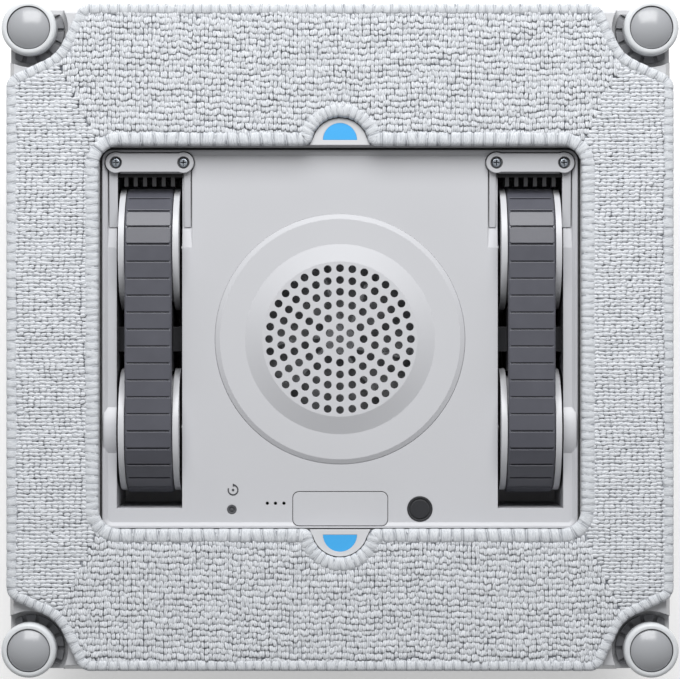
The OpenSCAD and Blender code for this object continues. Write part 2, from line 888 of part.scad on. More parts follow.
// The belt's outline in the plane of its wheels
module loop_outline(r) {
    square([wheel_span, 2 * r], center = true);
    for (end = [-1, 1]) translate([end * wheel_span / 2, 0]) circle(r, $fn = 96);
}

// Place and turn of a point at a given way along the belt
function loop_place(way) =
    let (arc = PI * band_r)
    way < wheel_span ? [way - wheel_span / 2, band_r, 0]
    : way < wheel_span + arc ? let (turn = 180 * (way - wheel_span) / arc)
        [wheel_span / 2 + band_r * sin(turn), band_r * cos(turn), -turn]
    : way < 2 * wheel_span + arc ? [wheel_span / 2 - (way - wheel_span - arc), -band_r, -180]
    : let (turn = 180 * (way - 2 * wheel_span - arc) / arc)
        [-wheel_span / 2 - band_r * sin(turn), -band_r * cos(turn), -180 - turn];

module lug_outline() {
    pitch = (2 * wheel_span + 2 * PI * band_r) / lug_count;
    foot = 0.45 * pitch;
    crest = 0.38 * pitch;
    polygon([[-foot, -belt_t / 2], [foot, -belt_t / 2], [foot, 0],
             [crest, lug_h], [-crest, lug_h], [-foot, 0]]);
}

module belt(side) {
    length = 2 * wheel_span + 2 * PI * band_r;
    color([0.48, 0.48, 0.53])
        on_side(side) translate([-track_x - belt_x, 0, wheel_z])
            rotate([90, 0, 90]) linear_extrude(belt_w) difference() {
                union() {
                    loop_outline(band_r);
                    for (i = [0 : lug_count - 1]) {
                        p = loop_place((i + 0.5) * length / lug_count);
                        translate([p[0], p[1]]) rotate(p[2]) lug_outline();
                    }
                }
                loop_outline(loop_r);
            }
}

module wheel(side, y, bore_r) {
    color([0.84, 0.84, 0.86])
        on_side(side) translate([-track_x, y, wheel_z]) difference() {
            union() {
                along_x(-wheel_x, hub_r, 2 * wheel_x);
                along_x(-wheel_x, flange_r, flange_t);
                along_x(wheel_x - flange_t, flange_r, flange_t);
            }
            along_x(-wheel_x - over, bore_r, 2 * wheel_x + 2 * over);
        }
}

module drive_shaft(side) {
    start = -track_x - well_w / 2 - well_wall;
    color([0.60, 0.60, 0.62])
        on_side(side) translate([0, -wheel_span / 2, wheel_z])
            along_x(start, axle_r, well_w + 2 * well_wall + shaft_reach);
}

module idler_pin(side) {
    start = -track_x - well_w / 2 - well_wall;
    color([0.60, 0.60, 0.62])
        on_side(side) translate([0, wheel_span / 2, wheel_z]) along_x(start, axle_r, well_w + 2 * well_wall);
}

module gearbox(side) {
    start = -track_x + well_w / 2 + well_wall;
    color([0.70, 0.70, 0.66])
        on_side(side) difference() {
            union() {
                translate([start, gearbox_y - gearbox_w / 2, wheel_z - gearbox_low])
                    cube([gearbox_t, gearbox_w, gearbox_h]);
                translate([0, -wheel_span / 2, wheel_z]) along_x(start, axle_r + wall, gearbox_t + over);
            }
            translate([0, -wheel_span / 2, wheel_z])
                along_x(start - over, axle_r + fit, gearbox_t + 3 * over);
        }
}

module drive_motor(side) {
    start = -track_x + well_w / 2 + well_wall + gearbox_t;
    color([0.62, 0.63, 0.65])
        on_side(side) translate([0, drive_motor_y, wheel_z - drive_motor_drop]) {
            along_x(start, drive_motor_r, drive_motor_l);
            along_x(start + drive_motor_l, pinion_boss_r, pinion_boss_h);
        }
}

module circuit_board() {
    board_z = panel_z - board_drop - board_t;
    color([0.10, 0.38, 0.24]) {
        translate([-board_w / 2, board_y - board_h / 2, board_z]) cube([board_w, board_h, board_t]);
        for (sx = [-1, 1], sy = [-1, 1])
            translate([sx * (board_w / 2 - board_post_in),
                       board_y + sy * (board_h / 2 - board_post_in), board_z])
                cylinder(r = board_post_r, h = board_t + board_drop);
        for (b = [[power_place, power_travel], [reset_place, reset_travel]])
            translate([b[0][0], b[0][1], board_z])
                cylinder(r = switch_r, h = board_t + board_drop - button_flange_t - b[1] - 2 * slack);
        translate([-chip_w / 2, board_y - chip_w / 2, board_z - chip_t]) cube([chip_w, chip_w, chip_t]);
    }
}

module battery_pack() {
    pitch = 2 * cell_r + cell_gap;
    color([0.20, 0.34, 0.62]) {
        for (col = [-0.5, 0.5], row = [0, 1])
            translate([0, battery_y + col * pitch, wall + battery_foot + cell_r + row * pitch])
                along_x(-cell_l / 2, cell_r, cell_l);
        for (end = [-1, 1])
            translate([end * cell_l / 4 - cell_r, battery_y - pitch, wall])
                cube([2 * cell_r, 2 * pitch, 2 * pitch + 2 * battery_foot]);
    }
}

module hook_strips() {
    side_x = (opening_w / 2 + body_w / 2) / 2;
    end_y = (opening_h / 2 + body_w / 2) / 2;
    color([0.90, 0.90, 0.90])
        translate([0, 0, frame_top]) for (s = [-1, 1]) {
            translate([-strip_l / 2, s * end_y - strip_w / 2, 0]) cube([strip_l, strip_w, strip_t]);
            translate([s * side_x - strip_w / 2, -strip_l / 2, 0]) cube([strip_w, strip_l, strip_t]);
        }
}

function arc_points(centre, r, from, to) =
    [for (i = [0 : arc_steps]) let (a = from + (to - from) * i / arc_steps) centre + r * [cos(a), sin(a)]];

// The pad's outline near its top left corner, drawn in by a margin
function corner_points(margin) =
    let (half = pad_w / 2 - margin,
         r = notch_r + margin,
         edge_r = pad_edge_r - margin,
         c = roller_span / 2,
         lean = notch_lean,
         foot = [-c + r * cos(lean), c - r * sin(lean)],
         edge_y = half - edge_r,
         edge_x = foot[0] + (edge_r + (edge_y - foot[1]) * sin(lean)) / cos(lean))
    concat(arc_points([edge_x, edge_y], edge_r, 90, 180 - lean),
           arc_points([-c, c], r, -lean, lean - 90),
           arc_points([-edge_y, -edge_x], edge_r, 90 + lean, 180));

module pad_outline(margin) {
    points = corner_points(margin);
    polygon([for (turn = [0 : 3], p = points)
        let (a = 90 * turn) [p[0] * cos(a) - p[1] * sin(a), p[0] * sin(a) + p[1] * cos(a)]]);
}

module tab_outline(grow) {
    base_y = pad_open_h / 2;
    shoulder = sqrt(tab_r * tab_r - tab_flare_h * tab_flare_h) + grow;
    translate([0, base_y]) circle(tab_r + grow);
    polygon([[-tab_flare - grow, base_y - over], [tab_flare + grow, base_y - over],
             [tab_flare + grow, base_y], [shoulder, base_y + tab_flare_h],
             [-shoulder, base_y + tab_flare_h], [-tab_flare - grow, base_y]]);
}

module pad_opening(margin) {
    rounded(opening_w + 2 * margin, pad_open_h + 2 * margin, pad_open_r + margin);
    tab_outline(slack + margin);
    mirror([0, 1]) tab_outline(slack + margin);
}

module cleaning_pad() {
    color([0.90, 0.91, 0.93])
        translate([0, pad_shift, pad_z])
            for (i = [0 : len(pad_round_shares) - 2]) {
                low = pad_round_shares[i];
                high = pad_round_shares[i + 1];
                margin = pad_round * (low[1] + high[1]) / 2;
                translate([0, 0, pad_t * low[0]]) linear_extrude(pad_t * (high[0] - low[0])) difference() {
                    pad_outline(margin);
                    pad_opening(margin);
                }
            }
}

module pad_tabs() {
    color([0.84, 0.85, 0.87])
        translate([0, pad_shift, frame_top]) for (turn = [0, 180]) rotate(turn) difference() {
            linear_extrude(tab_t) intersection() {
                tab_outline(0);
                translate([-body_w / 2, opening_h / 2]) square([body_w, body_w]);
            }
            translate([0, pad_open_h / 2 + mark_in, tab_t - mark_t]) linear_extrude(mark_t + over)
                mark_outline(mark_r + mark_gap);
        }
}

module mark_outline(r) {
    intersection() {
        circle(r);
        translate([-r, 0]) square([2 * r, r]);
    }
}

module tab_marks() {
    color([0.27, 0.70, 0.96])
        translate([0, pad_shift, frame_top]) for (turn = [0, 180]) rotate(turn)
            translate([0, pad_open_h / 2 + mark_in + mark_gap, tab_t - mark_t])
                linear_extrude(mark_t) mark_outline(mark_r);
}

// One corner's collar, with the post that the roller turns on
module collar(c) {
    lip_z = ring_z + web_t + slack;
    color([0.42, 0.42, 0.44])
        translate([c[0] * roller_span / 2, c[1] * roller_span / 2, 0]) difference() {
            union() {
                intersection() {
                    translate([0, 0, collar_z]) cylinder(r = collar_r, h = collar_t);
                    translate([-c[0] * roller_span / 2, -c[1] * roller_span / 2, collar_z])
                        slab(body_w - 2 * edge_in, body_w - 2 * edge_in, body_r, collar_t);
                }
                translate([0, 0, collar_z - collar_boss_h]) cylinder(r = collar_boss_r, h = collar_boss_h);
                translate([0, 0, collar_z]) cylinder(r = post_r, h = lip_z + lip_h - collar_z);
                translate([0, 0, lip_z]) cylinder(r = lip_r, h = lip_h);
                translate([0, 0, collar_z]) cylinder(r = lip_r + over, h = ring_z - slack - collar_z);
            }
            translate([0, 0, collar_z - collar_boss_h + collar_t]) cylinder(r = stem_r + fit, h = frame_h);
            for (i = [0 : notch_count - 1]) rotate(i * 360 / notch_count)
                translate([collar_r - collar_slot_l, -collar_slot_w / 2, collar_z + collar_t / 2])
                    cube([collar_slot_l + over, collar_slot_w, collar_t]);
        }
}

module roller(c) {
    color([0.84, 0.85, 0.86])
        translate([c[0] * roller_span / 2, c[1] * roller_span / 2, ring_z])
            rotate_extrude() difference() {
                union() {
                    translate([post_r + fit, 0]) square([roller_r - post_r - fit - ring_round, roller_h]);
                    translate([post_r + fit, ring_round])
                        square([roller_r - post_r - fit, roller_h - 2 * ring_round]);
                    for (y = [ring_round, roller_h - ring_round])
                        translate([roller_r - ring_round, y]) circle(ring_round, $fn = 24);
                }
                translate([0, web_t]) square([dome_r + slack, roller_h]);
            }
}

module dome(c) {
    cap_r = (dome_r * dome_r + dome_rise * dome_rise) / (2 * dome_rise);
    stem_l = dome_edge - collar_z + collar_boss_h - collar_t - spring_l;
    color([0.72, 0.73, 0.75])
        translate([c[0] * roller_span / 2, c[1] * roller_span / 2, dome_edge]) {
            rotate_extrude() difference() {
                union() {
                    intersection() {
                        translate([0, dome_rise - cap_r]) circle(cap_r, $fn = 160);
                        square([dome_r, dome_rise]);
                    }
                    translate([0, -dome_skirt]) square([dome_r, dome_skirt]);
                }
                translate([stem_r, -dome_skirt - over])
                    square([dome_r - dome_wall - stem_r, dome_skirt + over]);
            }
            translate([0, 0, -stem_l]) cylinder(r = stem_r, h = stem_l);
        }
}

module spring(c) {
    color([0.66, 0.66, 0.68])
        translate([c[0] * roller_span / 2, c[1] * roller_span / 2, collar_z - collar_boss_h + collar_t])
            tube(stem_r - fit, stem_r - fit - spring_wire, spring_l);
}

base_frame();
rear_housing();
rear_cover();
housing_screws();
grip_tray();
carry_handle();
underside_panel();
fan_grille();
hook_strips();
cleaning_pad();
pad_tabs();
tab_marks();
track_frame(-1);  // left_track_frame
track_frame(1);  // right_track_frame
track_brace(-1);  // left_track_brace
track_brace(1);  // right_track_brace
brace_screws();
track_scrapers();
belt(-1);  // left_belt
belt(1);  // right_belt
wheel(-1, -wheel_span / 2, axle_r);  // left_drive_wheel
wheel(1, -wheel_span / 2, axle_r);  // right_drive_wheel
wheel(-1, wheel_span / 2, axle_r + fit);  // left_idler_wheel
wheel(1, wheel_span / 2, axle_r + fit);  // right_idler_wheel
drive_shaft(-1);  // left_drive_shaft
drive_shaft(1);  // right_drive_shaft
idler_pin(-1);  // left_idler_pin
idler_pin(1);  // right_idler_pin
gearbox(-1);  // left_gearbox
gearbox(1);  // right_gearbox
drive_motor(-1);  // left_drive_motor
drive_motor(1);  // right_drive_motor
impeller();
fan_motor();
fan_scroll();
circuit_board();
battery_pack();
reset_button();
power_button();
start_button();
status_light();
label_plate();
reset_icon();
cord_gland();
tether_ring();
collar(CORNERS[0]);  // top_left_collar
collar(CORNERS[1]);  // top_right_collar
collar(CORNERS[2]);  // bottom_left_collar
collar(CORNERS[3]);  // bottom_right_collar
roller(CORNERS[0]);  // top_left_roller
roller(CORNERS[1]);  // top_right_roller
roller(CORNERS[2]);  // bottom_left_roller
roller(CORNERS[3]);  // bottom_right_roller
dome(CORNERS[0]);  // top_left_dome
dome(CORNERS[1]);  // top_right_dome
dome(CORNERS[2]);  // bottom_left_dome
dome(CORNERS[3]);  // bottom_right_dome
spring(CORNERS[0]);  // top_left_spring
spring(CORNERS[1]);  // top_right_spring
spring(CORNERS[2]);  // bottom_left_spring
spring(CORNERS[3]);  // bottom_right_spring
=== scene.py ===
import math

import bmesh
import bpy
import numpy as np
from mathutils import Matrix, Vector


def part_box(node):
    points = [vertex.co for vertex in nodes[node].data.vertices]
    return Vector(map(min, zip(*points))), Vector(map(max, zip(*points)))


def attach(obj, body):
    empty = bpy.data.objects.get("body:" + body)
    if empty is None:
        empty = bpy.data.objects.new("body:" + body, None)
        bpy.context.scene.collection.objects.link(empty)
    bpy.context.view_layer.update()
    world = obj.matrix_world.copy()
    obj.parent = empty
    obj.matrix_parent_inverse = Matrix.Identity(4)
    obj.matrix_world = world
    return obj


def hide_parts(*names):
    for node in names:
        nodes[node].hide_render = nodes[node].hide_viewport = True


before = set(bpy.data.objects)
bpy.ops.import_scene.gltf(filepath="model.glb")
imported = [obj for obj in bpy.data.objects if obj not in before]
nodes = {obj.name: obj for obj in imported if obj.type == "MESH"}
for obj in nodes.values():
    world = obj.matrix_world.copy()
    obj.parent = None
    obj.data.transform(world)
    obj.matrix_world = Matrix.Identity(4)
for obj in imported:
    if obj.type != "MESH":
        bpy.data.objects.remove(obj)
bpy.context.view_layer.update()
scene = bpy.context.scene
scene.view_settings.view_transform = "Standard"
MM = 0.001

# Base frame, rear housing, rear cover and grip tray.
# Shells of light grey ABS, injection moulded in spark-eroded tools, which leaves a fine even
# grain. The cover's posts take the screws to the frame, and the tray is set in its window.


def linear(code):
    """The linear colour of an sRGB hex code."""
    parts = [int(code[i:i + 2], 16) / 255 for i in (1, 3, 5)]
    return [c / 12.92 if c < 0.04045 else ((c + 0.055) / 1.055) ** 2.4 for c in parts] + [1]


def add(tree, kind, settings=None, links=None):
    """Adds a node with its own settings in small letters, its inputs' values, and links to inputs."""
    node = tree.nodes.new(kind)
    for name, value in (settings or {}).items():
        if isinstance(name, str) and name.islower():
            setattr(node, name, value)
        else:
            node.inputs[name].default_value = value
    for name, socket in (links or {}).items():
        tree.links.new(socket, node.inputs[name])
    return node


def new_material(name):
    material = bpy.data.materials.new(name)
    material.use_nodes = True
    tree = material.node_tree
    place = add(tree, "ShaderNodeTexCoord").outputs["Object"]
    return material, tree, tree.nodes["Principled BSDF"], place


def moulded(name, colour, shade, roughness, grain, depth, round_edge, ior=1.53):
    """Moulded plastic: a slow change of tone, a fine grain, rubbed edges, and shade painted dark into the
    gaps.
    """
    material, tree, shader, place = new_material(name)
    cloud = add(tree, "ShaderNodeTexNoise", {"Scale": 1 / (40 * MM), "Detail": 2}, {"Vector": place})
    grit = add(tree, "ShaderNodeTexNoise", {"Scale": 1 / grain, "Detail": 3}, {"Vector": place})
    tone = add(tree, "ShaderNodeMix", {"data_type": "RGBA", 6: linear(colour), 7: linear(shade)},
               {0: cloud.outputs[0]})
    edge = add(tree, "ShaderNodeBevel", {"samples": 4, "Radius": round_edge})
    face = add(tree, "ShaderNodeNewGeometry")
    along = add(tree, "ShaderNodeVectorMath", {"operation": "DOT_PRODUCT"},
                {0: edge.outputs[0], 1: face.outputs["Normal"]})
    rub = add(tree, "ShaderNodeMapRange", {"From Min": 1, "From Max": 0.75, "To Min": 0, "To Max": 0.12},
              {"Value": along.outputs["Value"]})
    worn = add(tree, "ShaderNodeMix", {"data_type": "RGBA", 7: linear("#f2f2f4")},
               {0: rub.outputs[0], 6: tone.outputs[2]})
    # Painted shade: where ambient occlusion finds a narrow gap, the colour is mixed towards near black.
    shut = add(tree, "ShaderNodeAmbientOcclusion", {"samples": 6, "Distance": 3 * MM})
    painted_gap_shade = add(tree, "ShaderNodeMapRange", {"From Min": 0.12, "From Max": 0.5, "To Min": 0.85, "To Max": 0},
                {"Value": shut.outputs["AO"]})
    tone_with_painted_shade = add(tree, "ShaderNodeMix", {"data_type": "RGBA", 7: linear("#1f2023")},
               {0: painted_gap_shade.outputs[0], 6: worn.outputs[2]})
    gloss = add(tree, "ShaderNodeMapRange",
                {"To Min": roughness - 0.05, "To Max": roughness + 0.07}, {"Value": grit.outputs[0]})
    bump = add(tree, "ShaderNodeBump", {"Strength": 0.5, "Distance": depth},
               {"Height": grit.outputs[0], "Normal": edge.outputs[0]})
    shader.inputs["IOR"].default_value = ior
    tree.links.new(tone_with_painted_shade.outputs[2], shader.inputs["Base Color"])
    tree.links.new(gloss.outputs[0], shader.inputs["Roughness"])
    tree.links.new(bump.outputs[0], shader.inputs["Normal"])
    return material


def finish(material, *names):
    for name in names:
        nodes[name].data.materials.clear()
        nodes[name].data.materials.append(material)


# Spark-eroded ABS: satin, even and slightly cool
casing_abs = moulded("casing_abs", "#cdced1", "#c6c7ca", 0.42, 0.35 * MM, 0.03 * MM, 0.6 * MM)
finish(casing_abs, "base_frame", "rear_housing", "rear_cover", "grip_tray")

# Underside panel with its label plate and the reset sign.
# One ABS moulding with both track wells, set 3.5 mm below the frame. It is a little darker and
# smoother than the casing. The bare plate is glued in flush, and the sign is printed.

# Fine-grained ABS
panel_abs = moulded("panel_abs", "#cbccd0", "#c6c7cb", 0.38, 0.3 * MM, 0.02 * MM, 0.35 * MM)
finish(panel_abs, "underside_panel", "label_plate")
# Pad-printing ink: matt, a little uneven where it is thin
printed_ink = moulded("printed_ink", "#3a3b3f", "#424347", 0.6, 0.2 * MM, 0.01 * MM, 0.03 * MM)
finish(printed_ink, "reset_icon")

# Fan grille.
# A dished disc of the same ABS with 127 air holes, pressed into the panel over the suction fan.

# The grille's tool is eroded finely and evenly, which leaves a silky, matt skin
grille_abs = moulded("grille_abs", "#cbccd0", "#c5c6ca", 0.66, 0.3 * MM, 0.02 * MM, 0.3 * MM)
finish(grille_abs, "fan_grille")

# Track frames, dirt combs and braces.
# Each track runs round a block of glass-filled nylon. A light grey ABS brace is screwed across
# the well's upper end, with an arm on each side, and a nylon comb behind it strips dirt off the belt.

# Glass-filled nylon: dark, matt, with a slightly mottled skin
glass_nylon = moulded("glass_nylon", "#303136", "#26272b", 0.55, 0.5 * MM, 0.05 * MM, 0.3 * MM, ior=1.52)
finish(glass_nylon, "left_track_frame", "right_track_frame")
# The comb's nylon holds less glass and is dyed black
comb_nylon = moulded("comb_nylon", "#222326", "#1a1b1d", 0.5, 0.4 * MM, 0.02 * MM, 0.2 * MM, ior=1.52)
finish(comb_nylon, "track_scrapers")
# ABS from a smooth tool, a little glossier than the panel; its colour is set darker than the panel's as
# painted shade for the pad edge's shadow over the bar
brace_abs = moulded("brace_abs", "#c3c4c8", "#bcbdc1", 0.4, 0.3 * MM, 0.015 * MM, 0.35 * MM)
finish(brace_abs, "left_track_brace", "right_track_brace")

# Brace screws.
# Four M2.5 pan-head screws of zinc-plated steel with a Phillips recess, cold-headed, which leaves
# a smooth domed head. The plating has a faint blue tint.

HEAD_R = 1.95 * MM
SHANK_R = 1.2 * MM
RECESS_R = 1.25 * MM
RECESS_W = 0.22 * MM
head_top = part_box("brace_screws")[1].z
head_foot = head_top - 1.1 * MM


def new_object(name, mesh):
    obj = bpy.data.objects.new(name, mesh)
    scene.collection.objects.link(obj)
    return obj


def mesh_from(name, points, faces, smooth=True):
    mesh = bpy.data.meshes.new(name)
    mesh.from_pydata([tuple(p) for p in points], [], faces)
    mesh.update()
    mesh.polygons.foreach_set("use_smooth", [smooth] * len(mesh.polygons))
    return mesh


def phillips_screw():
    """A pan head on its shank, closed, with a four-winged recess, its foot at the origin."""
    turns = 48
    rings = [(SHANK_R, -6 * MM), (SHANK_R, 0), (HEAD_R, 0), (HEAD_R, 0.35 * MM), (0.93 * HEAD_R, 0.8 * MM),
             (0.8 * HEAD_R, 1.0 * MM), (0.68 * HEAD_R, 1.1 * MM)]
    points = [(0, 0, -6 * MM)]
    for radius, height in rings:
        points += [(radius * math.cos(2 * math.pi * i / turns), radius * math.sin(2 * math.pi * i / turns),
                    height) for i in range(turns)]
    # The recess: a cross in plan that narrows to its floor
    for share, depth in ((1.0, 1.1 * MM), (0.6, 0.45 * MM)):
        for i in range(turns):
            angle = 2 * math.pi * i / turns
            wing = min(abs(math.sin(angle)), abs(math.cos(angle)))
            reach = min(RECESS_R, RECESS_W / max(wing, 1e-6)) * share
            points.append((reach * math.cos(angle), reach * math.sin(angle), depth))
    points.append((0, 0, 0.3 * MM))
    faces = [(0, 1 + (i + 1) % turns, 1 + i) for i in range(turns)]
    layers = len(rings) + 2
    for ring in range(layers - 1):
        low = 1 + ring * turns
        for i in range(turns):
            j = (i + 1) % turns
            faces.append((low + i, low + j, low + turns + j, low + turns + i))
    last = 1 + (layers - 1) * turns
    faces += [(last + i, last + (i + 1) % turns, len(points) - 1) for i in range(turns)]
    return mesh_from("phillips_screw", points, faces, smooth=False)


def group(name, inputs):
    """A geometry node tree with named inputs, its input node and its output node."""
    tree = bpy.data.node_groups.new(name, "GeometryNodeTree")
    tree.interface.new_socket("Geometry", in_out="INPUT", socket_type="NodeSocketGeometry")
    for label, kind in inputs:
        tree.interface.new_socket(label, in_out="INPUT", socket_type="NodeSocket" + kind)
    tree.interface.new_socket("Geometry", in_out="OUTPUT", socket_type="NodeSocketGeometry")
    return tree, add(tree, "NodeGroupInput"), add(tree, "NodeGroupOutput")


def run_group(obj, tree, values):
    """Runs a tree on an object and returns the result as a plain mesh. The object is removed."""
    modifier = obj.modifiers.new("nodes", "NODES")
    modifier.node_group = tree
    for item in tree.interface.items_tree:
        if item.in_out == "INPUT" and item.name in values:
            modifier[item.identifier] = values[item.name]
    bpy.context.view_layer.update()
    graph = bpy.context.evaluated_depsgraph_get()
    mesh = bpy.data.meshes.new_from_object(obj.evaluated_get(graph))
    obj.modifiers.remove(modifier)
    bpy.data.objects.remove(obj)
    return mesh


# Places copies of one form on the vertices of a mesh. The mesh holds each copy's turn and size as
# the attributes turn and size, and Lean and Spread add a seeded share of chance to them.
copies, given, result = group("copies_on_points", [
    ("Form", "Object"), ("Lean", "Float"), ("Spread", "Float"), ("Seed", "Int"), ("Finish", "Material")])
form = add(copies, "GeometryNodeObjectInfo", {}, {"Object": given.outputs["Form"]})
local = add(copies, "GeometryNodeInputPosition")
kept = add(copies, "GeometryNodeStoreNamedAttribute",
           {"data_type": "FLOAT_VECTOR", "domain": "POINT", "Name": "strand"},
           {"Geometry": form.outputs["Geometry"], "Value": local.outputs[0]})
turn = add(copies, "GeometryNodeInputNamedAttribute", {"data_type": "FLOAT_VECTOR", "Name": "turn"})
size = add(copies, "GeometryNodeInputNamedAttribute", {"data_type": "FLOAT_VECTOR", "Name": "size"})
chance = add(copies, "FunctionNodeRandomValue",
             {"data_type": "FLOAT_VECTOR", "Min": (-1, -1, -1), "Max": (1, 1, 1)},
             {"Seed": given.outputs["Seed"]})
lean = add(copies, "ShaderNodeVectorMath", {"operation": "SCALE"},
           {0: chance.outputs[0], "Scale": given.outputs["Lean"]})
turned = add(copies, "ShaderNodeVectorMath", {"operation": "ADD"},
             {0: turn.outputs[0], 1: lean.outputs[0]})
other_seed = add(copies, "ShaderNodeMath", {"operation": "ADD", 1: 7}, {0: given.outputs["Seed"]})
luck = add(copies, "FunctionNodeRandomValue",
           {"data_type": "FLOAT_VECTOR", "Min": (-1, -1, -1), "Max": (1, 1, 1)},
           {"Seed": other_seed.outputs[0]})
grow = add(copies, "ShaderNodeVectorMath", {"operation": "SCALE"},
           {0: luck.outputs[0], "Scale": given.outputs["Spread"]})
share = add(copies, "ShaderNodeVectorMath", {"operation": "ADD", 1: (1, 1, 1)}, {0: grow.outputs[0]})
sized = add(copies, "ShaderNodeVectorMath", {"operation": "MULTIPLY"},
            {0: size.outputs[0], 1: share.outputs[0]})
euler = add(copies, "FunctionNodeEulerToRotation", {}, {0: turned.outputs[0]})
placed = add(copies, "GeometryNodeInstanceOnPoints", {},
             {"Points": given.outputs["Geometry"], "Instance": kept.outputs[0],
              "Rotation": euler.outputs[0], "Scale": sized.outputs[0]})
real = add(copies, "GeometryNodeRealizeInstances", {}, {0: placed.outputs[0]})
coated = add(copies, "GeometryNodeSetMaterial", {},
             {"Geometry": real.outputs[0], "Material": given.outputs["Finish"]})
copies.links.new(coated.outputs[0], result.inputs["Geometry"])


def copies_of(name, mesh, places, turns, sizes, lean_by, spread, seed, material):
    """Copies of a mesh at each place, as one plain mesh."""
    points = bpy.data.meshes.new(name)
    points.from_pydata([tuple(p) for p in places], [], [])
    for label, rows in (("turn", turns), ("size", sizes)):
        layer = points.attributes.new(label, "FLOAT_VECTOR", "POINT")
        layer.data.foreach_set("vector", np.asarray(rows, np.float32).ravel())
    shape = new_object(name + "_form", mesh)
    made = run_group(new_object(name, points), copies, {
        "Form": shape, "Lean": lean_by, "Spread": spread, "Seed": seed, "Finish": material})
    bpy.data.objects.remove(shape)
    return made


def zinc_plate():
    """Zinc plating on steel: bright, faintly blue, stained, with shade painted dark into the recess."""
    material, tree, shader, place = new_material("zinc_plate")
    stain = add(tree, "ShaderNodeTexNoise", {"Scale": 1 / (0.8 * MM), "Detail": 4}, {"Vector": place})
    tone = add(tree, "ShaderNodeMix",
               {"data_type": "RGBA", 6: linear("#a4adb8"), 7: linear("#ccd2da")}, {0: stain.outputs[0]})
    rough = add(tree, "ShaderNodeMapRange", {"To Min": 0.24, "To Max": 0.42}, {"Value": stain.outputs[0]})
    edge = add(tree, "ShaderNodeBevel", {"samples": 4, "Radius": 0.12 * MM})
    # Painted shade: the colour darkens to near black where ambient occlusion finds the recess.
    shut = add(tree, "ShaderNodeAmbientOcclusion", {"samples": 6, "Distance": 1.2 * MM})
    painted_recess_shade = add(tree, "ShaderNodeMapRange", {"From Min": 0.3, "From Max": 0.8, "To Min": 0.9, "To Max": 0},
               {"Value": shut.outputs["AO"]})
    tone_with_painted_shade = add(tree, "ShaderNodeMix", {"data_type": "RGBA", 7: linear("#1b1c20")},
               {0: painted_recess_shade.outputs[0], 6: tone.outputs[2]})
    shader.inputs["Metallic"].default_value = 1
    tree.links.new(tone_with_painted_shade.outputs[2], shader.inputs["Base Color"])
    tree.links.new(rough.outputs[0], shader.inputs["Roughness"])
    tree.links.new(edge.outputs[0], shader.inputs["Normal"])
    return material


screw_zinc = zinc_plate()
screw_x = [-90.2, -63.0, 63.0, 90.2]
screw_y = 71
screw_places = [(x * MM, screw_y * MM, head_foot) for x in screw_x]
screw_turns = [(0, 0, a) for a in (0.05, 0.02, -0.04, 0.06)]
screws = new_object("phillips_screws", copies_of(
    "screw_places", phillips_screw(), screw_places, screw_turns, [(1, 1, 1)] * 4, 0, 0, 1, screw_zinc))
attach(screws, "root")
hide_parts("brace_screws")
finish(screw_zinc, "housing_screws")

# Belts.
# Each belt is a loop of dark grey polyurethane with 44 tread plates. Thin grooves part the
# plates and stop 1 mm short of the belt's sides, and its teeth-free inside runs on two wheels.

TRACK_X = 76.8 * MM
WHEEL_SPAN = 73.4 * MM
WHEEL_Z = 51.0 * MM
BELT_W = 18.8 * MM
BELT_R = 25.6 * MM
BAND_R = 24.1 * MM
LOOP_R = 22.1 * MM
GROOVE_FLOOR_R = 24.9 * MM
SIDE_RIM = 1.0 * MM
PLATES = 44
belt_length = 2 * WHEEL_SPAN + 2 * math.pi * BAND_R


def belt_place(way, radius):
    """Place in the belt's plane and turn of its outward direction, at a way along its band."""
    arc = math.pi * BAND_R
    way = way % belt_length
    if way < WHEEL_SPAN:
        return way - WHEEL_SPAN / 2, radius, 0
    if way < WHEEL_SPAN + arc:
        turn_by = (way - WHEEL_SPAN) / BAND_R
        return WHEEL_SPAN / 2 + radius * math.sin(turn_by), radius * math.cos(turn_by), -turn_by
    if way < 2 * WHEEL_SPAN + arc:
        return WHEEL_SPAN / 2 - (way - WHEEL_SPAN - arc), -radius, -math.pi
    turn_by = (way - 2 * WHEEL_SPAN - arc) / BAND_R
    return (-WHEEL_SPAN / 2 - radius * math.sin(turn_by), -radius * math.cos(turn_by),
            -math.pi - turn_by)


def belt_band(x):
    """The closed band: a flat inside, a groove floor and two side rims at full height."""
    half = BELT_W / 2
    chamfer = 0.35 * MM
    top = BELT_R - 0.1 * MM
    section = [(-half, LOOP_R), (half, LOOP_R), (half, top - chamfer), (half - chamfer, top),
               (half - SIDE_RIM, top), (half - SIDE_RIM - 0.3 * MM, GROOVE_FLOOR_R),
               (-half + SIDE_RIM + 0.3 * MM, GROOVE_FLOOR_R), (-half + SIDE_RIM, top),
               (-half + chamfer, top), (-half, top - chamfer)]
    steps = 176
    points = []
    for i in range(steps):
        for across, radius in section:
            y, z, _ = belt_place(i * belt_length / steps, radius)
            points.append((x + across, y, WHEEL_Z + z))
    count = len(section)
    faces = []
    for i in range(steps):
        for k in range(count):
            a = i * count + k
            b = i * count + (k + 1) % count
            c = (i + 1) % steps * count
            faces.append((a, c + k, c + (k + 1) % count, b))
    return mesh_from("belt_band", points, faces, smooth=False)


